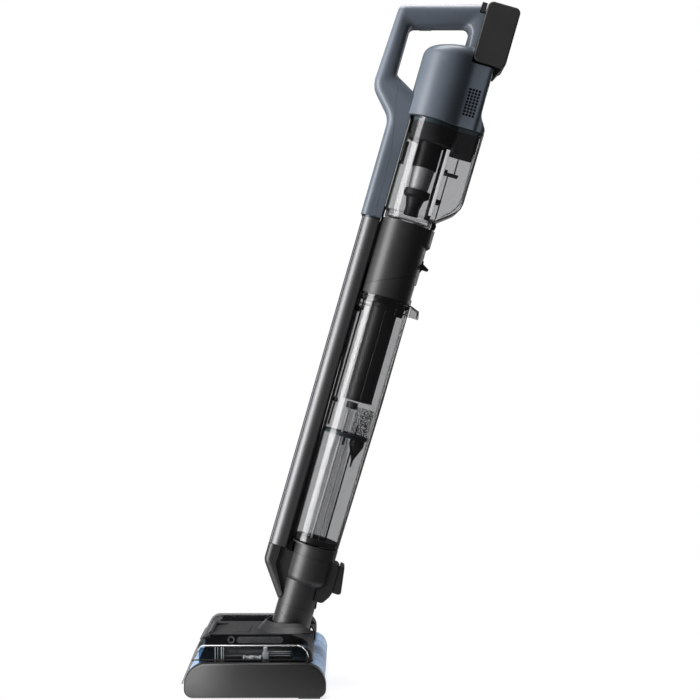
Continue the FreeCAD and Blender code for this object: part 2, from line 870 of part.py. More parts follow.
def cover_side(inset, name):
    """The moulded cover as a full block; an inset gives the hollow under it."""
    body = new_body(name)
    run = (S.cover_brow_x - S.cover_lip_x) / (S.cover_top - S.cover_lip_z)
    drop = inset * 5                # the hollow runs out below the lip
    width = (S.head_width / 2 - S.cover_inset) - inset
    slack = S.fit / 10
    shape = [(S.cover_lip_x + inset * 1.08 - run * drop, S.cover_lip_z - drop),
             (S.cover_brow_x + inset * 0.66, S.cover_top - inset, S.cover_brow_round - inset),
             (S.cover_back_x - inset, S.cover_top - inset, S.cover_back_round - inset),
             (S.cover_back_x - inset, S.cover_back_z - drop - slack)]
    pad(body, "XZ", -width, width, shape)
    above = number(S.cover_back_z) - 12
    front = number(S.cover_brow_x) + 8

    def side_edge(edge):
        middle = edge.BoundBox.Center
        slope = middle.z > number(S.cover_lip_z) + 20 and edge.BoundBox.XMin < front
        return (lies_at(edge, "Y", width) or lies_at(edge, "Y", -width)) and (
            middle.z > above or slope)

    fillet(body, S.cover_side_round - inset, side_edge)
    return level(body, S.head_x)


def matte_plan(grow, name):
    """Seen from above, the part of the cover that is matte and not clear."""
    body = new_body(name)
    far = (S.head_width / 2 - S.cover_inset) + 4
    front, narrow = S.cover_front_x - grow, S.brow_front_half_width + grow
    wide = S.tunnel_half_width + grow
    corner_x, corner_y = S.cover_seam_corner_x - grow, S.cover_seam_corner_y + grow
    half = [(front, narrow), (front + S.brow_length, wide), (S.cover_seam_x - grow, wide),
            (corner_x, corner_y), (corner_x, far), (S.cover_back_x + 5, far)]
    pad(body, "XY", 0 * S.fit, S.cover_top + 20,
        [(x, -y) for x, y in half] + [(x, y) for x, y in reversed(half)])
    return level(body, S.head_x)


def cap_tool():
    body = new_body("cap_tool")
    seam = cap_inner - S.cover_wall
    pad(body, "XZ", -S.head_width, seam, cap_outline(-S.fit))
    pad(body, "XZ", seam, S.head_width, cap_outline(S.far_cap_inset - S.fit))
    return level(body, S.head_x)


def head_cover():
    """One moulded shell, split by its seam into a clear cover and a matte top with the hub."""
    shell = combined("Cut", "cover_shell", cover_side(0 * S.fit, "cover_block"),
                     cover_side(S.cover_wall, "cover_hollow"))
    shell = combined("Cut", "cover_over_caps", shell, cap_tool())
    clear = combined("Cut", "clear_cover", shell, matte_plan(S.fit, "clear_plan"))
    keep(clear, "clear_cover")

    roof = S.cover_top - S.cover_wall
    matte = combined("MultiCommon", "matte_shell", shell, matte_plan(0 * S.fit, "matte_plan"))
    brow = new_body("brow")
    crest = S.cover_top + S.brow_rise
    pad(brow, "XZ", -S.brow_front_half_width, S.brow_front_half_width, [
        (S.cover_front_x, S.cover_front_z + 4), (S.cover_front_x + S.brow_length, crest),
        (S.cover_front_x + S.brow_length + 3, crest), (S.cover_front_x + S.brow_length + 7, roof),
        (S.cover_front_x + 4, S.cover_front_z + 4)])
    pit_start = S.cover_front_x + S.brow_length + 4
    pad(brow, "XZ", -S.brow_front_half_width, S.brow_front_half_width,
        box(pit_start - 4, pit_start + S.brow_pit_length + 2, roof - S.brow_pit_depth,
            S.cover_top - 1))
    pocket(brow, "XZ", -S.brow_front_half_width + 8, S.brow_front_half_width - 8,
           [(pit_start, crest), (pit_start, S.cover_top - S.brow_pit_depth),
            (pit_start + S.brow_pit_length, S.cover_top - 1),
            (pit_start + S.brow_pit_length, crest)])
    pit = new_body("pit")
    pad(pit, "XZ", -S.brow_front_half_width + 8, S.brow_front_half_width - 8,
        [(pit_start, crest), (pit_start, S.cover_top - S.brow_pit_depth),
         (pit_start + S.brow_pit_length, S.cover_top - 1),
         (pit_start + S.brow_pit_length, crest)])
    skirts = []
    for side in (-1, 1):
        skirt = new_body("near_skirt" if side < 0 else "far_skirt")
        low, high = sorted((side * (S.tunnel_half_width - S.skirt), side * S.tunnel_half_width),
                           key=number)
        clear_of_roller = S.roller_radius * 2 + 2
        front = -half_spacing + S.roller_radius + S.roller_well + 2
        pad(skirt, "XZ", low, high, [
            (S.cover_front_x + 10, clear_of_roller), (front, clear_of_roller),
            (front + 2, S.tray_top + S.fit), (S.cover_seam_x - 4, S.tray_top + S.fit),
            (S.cover_seam_x - 4, roof + 1), (S.cover_front_x + 10, roof - 3)])
        skirts.append(level(skirt, S.head_x))
    hub = new_body("hub")
    lip = S.hub_bore + S.hub_lip
    turned(hub, "XZ", [
        (S.hub_bore, roof), (S.tunnel_half_width - S.fit * 2, roof),
        (S.tunnel_half_width - S.fit * 2, S.cover_top + 0.6),
        (lip + 4.5, S.cover_top + S.hub_height * 0.62, 14 + 0 * S.fit),
        (lip, S.cover_top + S.hub_height),
        (S.hub_bore, S.cover_top + S.hub_height)])
    level(hub, S.head_x + S.hub_x)
    solid = combined("MultiFuse", "matte_solid", matte, level(brow, S.head_x), *skirts, hub)

    mouth = new_body("hub_mouth")
    rod(mouth, "XY", S.tray_top, S.cover_top + 40, (S.hub_x, 0 * S.fit, S.hub_bore))
    pad(mouth, "XY", S.tray_top, S.cover_top + 40,
        box(S.hub_x, S.cover_back_x + 40, -S.hub_bore, S.hub_bore))
    pad(mouth, "XY", S.tray_top, S.cover_top + 40,
        box(S.cover_back_x, S.cover_back_x + 40, -S.head_width, S.head_width))
    opening = new_body("button_opening")
    half_length, half_width = S.button_length / 2, S.button_width / 2
    pad(opening, "XY", S.cover_top - 20, S.cover_top + 20,
        box(S.button_x - half_length - S.fit, S.button_x + half_length + S.fit,
            -half_width - S.fit, half_width + S.fit, S.button_round + S.fit))
    tools = combined("MultiFuse", "matte_tools", level(mouth, S.head_x),
                     level(opening, S.head_x), level(pit, S.head_x))
    keep(combined("Cut", "head_top_cover", solid, tools), "head_top_cover")

    button = new_body("button")
    pad(button, "XY", S.cover_top - S.button_depth, S.cover_top + S.button_rise,
        box(S.button_x - half_length, S.button_x + half_length, -half_width, half_width,
            S.button_round))
    top = S.cover_top + S.button_rise
    fillet(button, S.button_rise * 0.6, lambda edge: lies_at(edge, "Z", top))
    keep(level(button, S.head_x), "roller_release_button")


# ---------------------------------------------------------------- neck and lower housing

zero = 0 * S.fit
half_fit = S.fit / 2
running = S.bearing_clearance


def wedge(name, height, rise, reach, low=None, high=None):
    """A block under (low given) or over (high given) a plane that rises with x."""
    body = new_body(name)
    start, end = height - reach * rise, height + reach * rise
    level_end = low if low is not None else high
    pad(body, "XZ", -reach + zero, reach + zero, [
        (zero - reach, level_end), (zero + reach, level_end), (zero + reach, end),
        (zero - reach, start)])
    return body


def tilt_yoke():
    """The barrel that tilts in the head, cut off by the slanted swivel seam."""
    body = new_body("yoke")
    half = S.yoke_half_length
    rod(body, "XZ", -half, half, (zero, zero, S.yoke_radius))
    rod(body, "XY", S.yoke_shoulder, S.swivel_height + 22, (zero, zero, S.neck_radius))
    bore(body, "XY", -S.yoke_radius, S.swivel_height + 22, (zero, zero, S.neck_bore))
    bore(body, "XZ", -half, half, (zero, zero, S.pin_radius + running))
    over = wedge("yoke_cut", S.swivel_height - half_fit, -S.swivel_fall, 60, high=100 + zero)
    keep(leaned(combined("Cut", "tilt_yoke", body, over)), "tilt_yoke")


def swivel_neck():
    """The round neck above the slanted seam, with the spigot that the upper body slides on."""
    body = new_body("neck")
    top = S.neck_seam - half_fit
    rod(body, "XY", zero, top, (zero, zero, S.neck_radius))
    rod(body, "XY", top, top + S.spigot_length, (zero, zero, S.spigot_radius))
    under = wedge("neck_cut", S.swivel_height + half_fit, -S.swivel_fall, 60, low=zero - 100)
    upper = combined("Cut", "neck_above_seam", body, under)
    tube = new_body("swivel_tube")
    rod(tube, "XY", -S.swivel_tube_depth, S.wall * 2, (zero, zero, S.swivel_tube_radius))
    slope = Size(math.degrees(math.atan(number(S.swivel_fall))), "atan(sizes.swivel_fall)")
    turned_about_y(tube, slope, zero, S.swivel_height)
    throat = new_body("throat")
    rod(throat, "XY", -S.swivel_height, S.neck_seam * 2, (zero, zero, S.neck_throat))
    keep(leaned(combined("Cut", "swivel_neck", combined("MultiFuse", "neck_solid", upper, tube),
                         throat)), "swivel_neck")


def lower_housing():
    """The housing above the neck, with the web that carries the elbow and the pipe."""
    body = new_body("lower_shell")
    rod(body, "XY", S.low_housing_bottom, S.low_housing_top,
        (S.low_housing_x, zero, S.low_housing_radius))
    fillet(body, S.low_housing_round, lambda edge: lies_at(edge, "Z", S.low_housing_bottom))
    bottom = S.neck_seam + half_fit
    rod(body, "XY", bottom, S.tube_top, (zero, zero, S.neck_radius))
    top = S.low_housing_top
    web_front = S.elbow_inner_x + S.fit
    pad(body, "XZ", -S.web_half_width, S.web_half_width, [
        (web_front, S.spine_bottom - S.fit), (web_front, S.elbow_bend),
        (S.elbow_tip_x + 7, S.elbow_tip_z + 9), (zero - 20, S.elbow_tip_z + 9),
        (zero - 20, top - S.fit), (S.spine_back + 4, top - S.fit),
        (S.spine_back, S.spine_bottom - S.fit)])
    bore(body, "XY", bottom, bottom + S.spigot_length + 1,
         (zero, zero, S.spigot_radius + running))
    bore(body, "XY", bottom, top, (S.riser_x, zero, S.neck_throat))
    low, high = S.head_button_low - S.fit, S.head_button_high + S.fit
    wide = S.head_button_half_width + S.fit
    pocket(body, "XY", low, high,
           box(S.spigot_radius + 1, S.neck_radius + 5, -wide, wide))
    keep(leaned(body), "lower_housing")

    button = new_body("head_button")
    inside = S.spigot_radius + 1.5 + S.button_travel
    half = S.head_button_half_width
    out = S.neck_radius + S.head_button_proud
    pad(button, "XZ", -half, half, [
        (inside, S.head_button_low), (out, S.head_button_low), (out, S.head_button_low + 3),
        (S.neck_radius + 0.5, S.head_button_high), (inside, S.head_button_high)])
    keep(leaned(button), "head_release_button")


def elbow_cover():
    """The cover that turns the spine's line in towards the neck."""
    body = new_body("elbow")
    top = S.spine_bottom - S.fit
    half = S.spine_half_width
    corners = [(S.spine_front, top), (S.spine_front, S.elbow_bend, S.elbow_round),
               (S.elbow_tip_x, S.elbow_tip_z), (S.elbow_tip_x + 5.6, S.elbow_tip_z + 9),
               (S.elbow_inner_x, S.elbow_bend), (S.elbow_inner_x, top)]
    pad(body, "XZ", -half, half, corners)
    bend = Vector(number(S.spine_front), number(S.elbow_bend))
    tip = Vector(number(S.elbow_tip_x), number(S.elbow_tip_z))

    def on_front(edge):
        middle = edge.BoundBox.Center
        if not (lies_at(edge, "Y", half) or lies_at(edge, "Y", -half)):
            return False
        spot = Vector(middle.x, middle.z)
        return middle.x < bend.x + 1 or abs(spot.distanceToLine(bend, tip - bend)) < 4

    fillet(body, S.elbow_edge_round, on_front)
    tube = new_body("elbow_cut")
    rod(tube, "XY", zero, S.spine_bottom, (zero, zero, S.neck_radius + S.fit))
    keep(leaned(combined("Cut", "elbow_cover", body, tube)), "elbow_cover")


def spine():
    """The hollow spine, its bright front strip and the ring that ends it."""
    column = new_body("column")
    half = S.spine_half_width
    pad(column, "XY", S.spine_bottom, S.spine_top,
        d_shape(S.spine_front, S.spine_back, half, S.wall))
    groove = S.spine_front + S.strip_depth + S.fit
    side = S.strip_half_width + S.fit
    pocket(column, "XY", S.spine_bottom, S.spine_top,
           box(S.spine_front - 1, groove, -side, side))
    hollow = box(groove + S.spine_wall, S.spine_back - S.spine_wall,
                 -half + S.spine_wall, half - S.spine_wall, S.spine_wall * 2)
    pocket(column, "XY", S.spine_bottom, S.spine_top, hollow)
    keep(leaned(column), "spine_column")

    strip = new_body("strip")
    back = S.spine_front + S.strip_depth
    pad(strip, "XY", S.spine_bottom, S.spine_top, [
        (S.spine_front, -S.strip_half_width, S.strip_round), (back, -S.strip_half_width),
        (back, S.strip_half_width), (S.spine_front, S.strip_half_width, S.strip_round)])
    keep(leaned(strip), "spine_front_strip")

    ring = new_body("ring")
    low = S.spine_top + S.fit
    pad(ring, "XY", low, low + S.ring_height,
        d_shape(S.spine_front - S.ring_proud, S.spine_back, half + S.ring_proud, S.wall))
    pocket(ring, "XY", low, low + S.ring_height, hollow)
    keep(leaned(ring), "spine_end_ring")


def dock():
    """The block behind the lower housing that meets a charging dock."""
    body = new_body("dock")
    half = S.dock_half_width
    pad(body, "XZ", -half, half, [
        (S.dock_front - 10, S.dock_top), (S.dock_back, S.dock_top, S.dock_round),
        (S.dock_back, S.dock_step), (S.dock_back - 3, S.dock_step - 9),
        (S.dock_front + 6, S.dock_foot, S.dock_round), (S.dock_front - 8, S.dock_foot)])
    fillet(body, S.wall, lambda edge: (lies_at(edge, "Y", half) or lies_at(edge, "Y", -half))
           and edge.BoundBox.Center.x > number(S.dock_front) + 2)
    tube = new_body("dock_cut")
    foot = S.low_housing_bottom - S.fit
    rod(tube, "XY", foot, S.tank_bottom,
        (S.low_housing_x, zero, S.low_housing_radius + S.fit))
    fillet(tube, S.low_housing_round, lambda edge: lies_at(edge, "Z", foot))
    rod(tube, "XY", zero, S.tank_bottom, (zero, zero, S.neck_radius + S.fit))
    keep(leaned(combined("Cut", "dock_block", body, tube)), "dock_block")

    plate = new_body("contacts")
    half = S.contact_half_width
    inner = S.dock_back + S.fit
    pad(plate, "XZ", -half, half, [
        (inner, S.contact_low), (S.contact_back + S.contact_slant, S.contact_low, S.contact_round),
        (S.contact_back, S.dock_top, S.contact_round), (inner, S.dock_top)])
    fillet(plate, S.wall, lambda edge: (lies_at(edge, "Y", half) or lies_at(edge, "Y", -half))
           and edge.BoundBox.Center.x > number(inner) + 1)
    keep(leaned(plate), "dock_contacts")


# ---------------------------------------------------------------- dirty-water tank

def tank_radius(z):
    """Outer radius of the tapered tank at a height."""
    share = (z.number - S.tank_bottom.number) / (
        S.tank_shoulder.number - S.tank_bottom.number)
    grow = Size(share, f"(({z.text} - {S.tank_bottom.text}) / "
                       f"({S.tank_shoulder.text} - {S.tank_bottom.text}))")
    return S.tank_bottom_radius + times(S.tank_top_radius - S.tank_bottom_radius, grow)


def tank_rest():
    """The rail between the spine and the tank; it fills the taper of the tank's front."""
    body = new_body("rest")
    low, high = S.tank_bottom + S.rest_inset, S.tank_shoulder - S.rest_inset * 4
    start = S.spine_back + S.fit
    pad(body, "XZ", -S.rest_half_width, S.rest_half_width, [
        (start, low), (S.tank_x - tank_radius(low) - S.fit, low),
        (S.tank_x - tank_radius(high) - S.fit, high), (start, high)])
    keep(leaned(body), "tank_rest")


def tank():
    shell = new_body("shell")
    wall = S.tank_wall
    rim = S.tank_rim - S.fit
    turned(shell, "XZ", [
        (zero, S.tank_bottom), (S.tank_bottom_radius, S.tank_bottom, wall + 0.5),
        (S.tank_top_radius, S.tank_shoulder), (S.tank_top_radius, rim),
        (S.tank_top_radius - wall, rim), (S.tank_top_radius - wall, S.tank_shoulder),
        (S.tank_bottom_radius - wall, S.tank_bottom + wall), (zero, S.tank_bottom + wall)])
    level(shell, S.tank_x)
    hook = new_body("hook")
    half = S.grip_half_width
    start = S.tank_x + S.tank_top_radius - 1
    pad(hook, "XZ", -half, half, [
        (start, S.grip_top), (S.grip_back - 2, S.grip_top - 6), (S.grip_back, S.grip_bottom + 3),
        (S.grip_back, S.grip_bottom), (start, S.grip_bottom)])
    inner = half - S.grip_wall
    pocket(hook, "XZ", -inner, inner, [
        (start + 1 + S.grip_wall, S.grip_top - S.grip_wall * 1.6),
        (S.grip_back - 2 - S.grip_wall, S.grip_top - 6 - S.grip_wall),
        (S.grip_back - S.grip_wall, S.grip_bottom - 1),
        (start + 1 + S.grip_wall, S.grip_bottom - 1)])
    drain = new_body("drain")
    rod(drain, "XY", zero, S.tank_bottom + wall * 2, (S.riser_x, zero, S.neck_throat))
    body = combined("MultiFuse", "tank_solid", shell, hook)
    keep(leaned(combined("Cut", "tank_shell", body, drain)), "tank_shell")

    foot = new_body("foot")
    flange = S.tank_bottom - S.fit - S.tank_foot_flange
    rod(foot, "XY", S.tank_foot_bottom, flange + S.fit,
        (S.low_housing_x, zero, S.low_housing_radius))
    rod(foot, "XY", flange, flange + S.tank_foot_flange, (S.tank_x, zero, S.tank_bottom_radius))
    bore(foot, "XY", S.tank_foot_bottom, flange + S.tank_foot_flange,
         (S.riser_x, zero, S.neck_throat))
    keep(leaned(foot), "tank_foot")

    floor = S.tank_bottom + wall + S.fit
    seal = new_body("seal")
    rod(seal, "XY", floor, floor + S.seal_height,
        (S.tank_x, zero, S.tank_bottom_radius - wall - S.fit))
    bore(seal, "XY", floor, floor + S.seal_height,
         (S.riser_x, zero, S.riser_foot_radius + S.fit))
    keep(leaned(seal), "tank_foot_seal")

    riser = new_body("riser")
    thin = S.riser_wall
    neck = S.plate_low - S.fit
    turned(riser, "XZ", [
        (S.riser_foot_radius - thin, floor), (S.riser_foot_radius, floor),
        (S.riser_waist_radius, S.plate_low - S.riser_drop), (S.riser_neck_radius, neck),
        (S.riser_top_radius, neck),
        (S.riser_top_radius, S.riser_top), (S.riser_top_radius - thin, S.riser_top),
        (S.riser_top_radius - thin, neck - thin), (S.riser_neck_radius - thin, neck - thin),
        (S.riser_waist_radius - thin, S.plate_low - S.riser_drop)])
    keep(leaned(riser, S.riser_x), "tank_riser")

    plate = new_body("plate")
    radius = tank_radius(S.plate_low) - wall - S.fit
    rod(plate, "XY", S.plate_low, S.plate_low + S.plate_thickness, (S.tank_x, zero, radius))
    bore(plate, "XY", S.plate_low, S.plate_low + S.plate_thickness,
         (S.riser_x, zero, S.riser_top_radius + S.fit), (S.mesh_x + 2, zero, S.cone_radius / 2))
    rod(plate, "XY", S.plate_low - S.peg_length, S.plate_low + 1,
        (S.peg_x, -S.peg_y, S.peg_radius))
    keep(leaned(plate), "separator_plate")

    mesh = new_body("mesh")
    low = S.plate_low + S.plate_thickness + S.fit
    turned(mesh, "XZ", [
        (zero, low), (S.mesh_radius, low), (S.mesh_radius, S.mesh_top),
        (S.mesh_radius - S.mesh_wall, S.mesh_top), (S.mesh_radius - S.mesh_wall, low + S.wall),
        (zero, low + S.wall)])
    keep(leaned(mesh, S.mesh_x), "mesh_cup")

    cone = new_body("cone")
    waist = S.plate_low - S.cone_drop
    tip = waist - S.cone_tip_length
    turned(cone, "XZ", [
        (zero, neck), (S.cone_radius, neck), (S.cone_radius, neck - S.cone_skirt),
        (S.cone_waist_radius, waist), (S.cone_waist_radius * 0.7, tip), (zero, tip)])
    keep(leaned(cone, S.cone_x), "deflector_cone")

    duct = new_body("air_duct_body")
    top = S.tank_rim - S.fit
    rod(duct, "XY", S.duct_bottom, top, (S.duct_x, zero, S.duct_radius))
    rod(duct, "XY", top - S.wall, top, (S.tank_x, zero, S.tank_top_radius - wall - S.fit))
    bore(duct, "XY", S.duct_bottom, top, (S.duct_x, zero, S.duct_radius - S.duct_wall))
    keep(leaned(duct), "air_duct")

    probe = new_body("probe")
    reach = S.probe_spacing / 2
    half = reach + S.probe_block / 2
    rods = [(S.probe_x, side * reach, S.probe_radius) for side in (-1, 1)]
    rod(probe, "XY", S.probe_top - 38, top - S.wall - S.fit, *rods)
    for low in (S.probe_top, S.tank_shoulder - S.probe_block * 2):
        pad(probe, "XY", low, low + S.probe_block,
            box(S.probe_x - S.probe_block / 2, S.probe_x + S.probe_block / 2, -half, half))
    keep(leaned(probe), "level_probe")


lid_rise = (S.lid_seam_back - S.lid_seam_front) / (S.lid_radius * 2 - S.lid_seam_inset)


def lid_plane(name, drop, **ends):
    """The slanted seam between the tank lid and the upper housing."""
    middle = (S.lid_seam_front + S.lid_seam_back) / 2
    return wedge(name, middle - drop, lid_rise, 60, **ends)


def tank_lid():
    lid = new_body("lid")
    roof = S.lid_seam_back + 20
    rod(lid, "XY", S.tank_rim, roof, (S.tank_x, zero, S.lid_radius))
    pocket(lid, "XZ", -S.notch_half_width, S.notch_half_width,
           box(S.tank_x + S.lid_radius - S.notch_depth, S.tank_x + S.lid_radius + 5,
               S.notch_low, S.notch_high))
    body = combined("Cut", "lid_solid", lid, lid_plane("lid_cut", S.lid_gap / 2, high=roof + 60))
    hollow = new_body("lid_hollow_rod")
    rod(hollow, "XY", S.tank_rim - 1, roof, (S.tank_x, zero, S.lid_hollow))
    inside = combined("Cut", "lid_hollow", hollow,
                      lid_plane("lid_hollow_cut", S.lid_gap / 2 + S.wall * 1.4, high=roof + 60))
    outlet = new_body("lid_outlet")
    rod(outlet, "XY", S.tank_rim - 1, roof, (S.tank_x, zero, S.inlet_bore))
    tools = combined("MultiFuse", "lid_tools", inside, outlet)
    keep(leaned(combined("Cut", "tank_lid", body, tools)), "tank_lid")


def upper_housing():
    """The housing between the tank and the hand-held vacuum."""
    shell = new_body("upper_shell")
    low, top = S.tank_rim, S.up_housing_top
    rod(shell, "XY", low, top, (S.tank_x, zero, S.up_housing_radius))
    collar = new_body("collar")
    rod(collar, "XY", S.collar_low, top, (S.collar_x, zero, S.collar_radius))
    chamfer(collar, S.collar_chamfer, lambda edge: lies_at(edge, "Z", S.collar_low)
            and edge.Length > 9)
    bracket = new_body("bracket")
    pad(bracket, "XY", S.lid_seam_back, S.spine_top,
        box(S.spine_back + S.fit, S.spine_back + 12, -S.web_half_width, S.web_half_width))
    solid = combined("MultiFuse", "upper_solid", shell, collar, bracket)
    wall = S.up_housing_wall
    cavity = new_body("upper_cavity")
    rod(cavity, "XY", low - 1, top - wall, (S.tank_x, zero, S.up_housing_radius - wall))
    rod(cavity, "XY", low - 1, top + 1, (S.tank_x, zero, S.inlet_bore))
    half = S.lever_half_width + S.fit
    pad(cavity, "XY", S.lever_foot_z - 1, S.lever_z + 5,
        box(S.tank_x + 20, S.lever_x + 8, -half, half))
    under = lid_plane("upper_cut", -S.lid_gap / 2, low=low - 60)
    tools = combined("MultiFuse", "upper_tools", cavity, under)
    hollowed = combined("Cut", "upper_hollowed", solid, tools)
    lugs = []
    for side in (-1, 1):
        lug = new_body("lug_near" if side < 0 else "lug_far")
        edges = sorted((side * half, side * (half + 4)), key=number)
        pad(lug, "XY", S.lever_z - 3.2, S.lever_z + 4.8, box(S.lever_x - 3.5, S.lever_x + 1.2,
                                                            *edges))
        lugs.append(lug)
    hole = new_body("lever_hole")
    rod(hole, "XZ", -half - 3, half + 3, (S.lever_x, S.lever_z, S.lever_pin + running))
    joined = combined("MultiFuse", "upper_with_lugs", hollowed, *lugs)
    keep(leaned(combined("Cut", "upper_housing", joined, hole)), "upper_housing")

    lever = new_body("lever")
    half = S.lever_half_width
    x, z = S.lever_x, S.lever_z
    pad(lever, "XZ", -half, half, [
        (x - 2.3, z + 3.2), (x + 3.4, z + 3.2), (x + 4.4, z - 2.2), (S.lever_tip_x, z - 8.2),
        (S.lever_tip_x - 1, z - 11.4), (x + 4.8, z - 11.2), (x + 3.4, S.lever_foot_z),
        (x + 0.4, S.lever_foot_z), (x + 0.4, z - 3.2), (x - 2.3, z - 3.2)])
    rod(lever, "XZ", -half - 2.9, half + 2.9, (x, z, S.lever_pin))
    keep(leaned(lever), "tank_release_lever")


# ---------------------------------------------------------------- hand-held vacuum

def plan(name, centre, radius, half_width, back, corner, low, high):
    """A round front and a straight-sided rear, seen from above."""
    body = new_body(name)
    rod(body, "XY", low, high, (centre, zero, radius))
    pad(body, "XY", low, high, [
        (centre, -half_width), (back, -half_width, corner), (back, half_width, corner),
        (centre, half_width)])
    return body


def prism(name, half_width, corners):
    body = new_body(name)
    pad(body, "XZ", zero - half_width, zero + half_width, corners)
    return body


def grip_top(x):
    """Height of the level top of the grip at x in the leaned frame."""
    return S.grip_front_top + times(x - S.bow_top_x, tan_lean)


def grip_low(x):
    return S.grip_front_low + times(x - S.hole_front, tan_lean)


def handle():
    body = new_body("frame")
    half = S.arm_half_width
    foot = S.motor_shoulder + S.fit
    pad(body, "XZ", -half, half, [
        (S.arm_front, S.arm_bottom), (S.arm_front, S.arm_bend_low, S.arm_bend_round),
        (S.bow_front, S.arm_bend_high, S.arm_bend_round),
        (S.bow_top_x, S.grip_front_top, S.bow_corner_round),
        (S.post_back, grip_top(S.post_back)), (S.post_back, foot), (S.hole_back, foot),
        (S.hole_back, grip_low(S.hole_back), S.hole_round),
        (S.hole_front, grip_low(S.hole_front), S.hole_round),
        (S.hole_front, S.hole_low_z, S.hole_round), (S.web_x, S.web_z),
        (S.web_x, S.motor_low - S.fit), (S.arm_back, S.motor_low - S.fit),
        (S.arm_back, S.arm_bottom)])
    top_line = number(S.grip_front_top) - number(S.bow_top_x) * tan_lean.number - 12

    bend = (number(S.arm_bend_low) + number(S.arm_bend_high)) / 2
    arm_middle = (number(S.arm_front) + number(S.arm_back)) / 2
    hole_foot = number(S.web_z) + 3

    def at_side(edge):
        return lies_at(edge, "Y", half) or lies_at(edge, "Y", -half)

    def outer(edge):
        middle = edge.BoundBox.Center
        return at_side(edge) and (
            middle.x < number(S.hole_front) - 7 or (middle.z < bend and middle.x < arm_middle)
            or middle.z > top_line + middle.x * tan_lean.number)

    fillet(body, S.frame_edge_round, outer)

    def inner(edge):
        middle = edge.BoundBox.Center
        return (at_side(edge) and number(S.hole_front) - 3 < middle.x
                < number(S.hole_back) + 0.5 and middle.z > hole_foot)

    fillet(body, S.hole_edge_round, inner)
    tongue_half = S.spine_half_width - S.spine_wall - S.fit
    front = S.spine_front + S.strip_depth + S.fit + S.spine_wall + S.fit
    back = S.spine_back - S.spine_wall - S.fit
    pad(body, "XY", S.arm_bottom - S.tongue_length, S.arm_bottom,
        box(front, back, -tongue_half, tongue_half, S.spine_wall * 2 - S.fit))
    rail = S.rail_half_width
    pad(body, "XY", S.rail_low, S.rail_high,
        box(S.post_back - 1, S.post_back + S.rail_out, -rail, rail))

    seat = new_body("motor_seat")
    rod(seat, "XY", S.motor_low - S.fit, S.hole_low_z, (S.motor_x, zero, S.motor_radius + S.fit))
    pad(seat, "XY", S.latch_low - 2, S.latch_high + 20,
        box(S.post_back - S.latch_depth, S.post_back + 5, -half - 2, half + 2))
    slot = new_body("trigger_slot")
    long_half = S.trigger_length / 2 + S.fit
    wide_half = S.trigger_half_width + S.fit
    pad(slot, "XY", -S.trigger_depth, S.trigger_depth + S.button_travel + 0.5,
        box(-long_half, long_half, -wide_half, wide_half))
    turned_about_y(slot, -S.lean_angle, S.trigger_x, grip_low(S.trigger_x))
    tools = combined("MultiFuse", "handle_tools", seat, slot)
    keep(leaned(combined("Cut", "handle_frame", body, tools)), "handle_frame")

    trigger = new_body("trigger_body")
    long_half, wide_half = S.trigger_length / 2, S.trigger_half_width
    pad(trigger, "XY", -S.trigger_proud, S.trigger_depth,
        box(-long_half, long_half, -wide_half, wide_half))
    fillet(trigger, S.trigger_proud * 0.7, lambda edge: lies_at(edge, "Z", -S.trigger_proud))
    low = grip_low(S.trigger_x)
    level(trigger, S.pivot_x + times(S.trigger_x, cos_lean) + times(low, sin_lean), 0 * S.fit,
          S.pivot_z - times(S.trigger_x, sin_lean) + times(low, cos_lean))
    keep(trigger, "trigger")


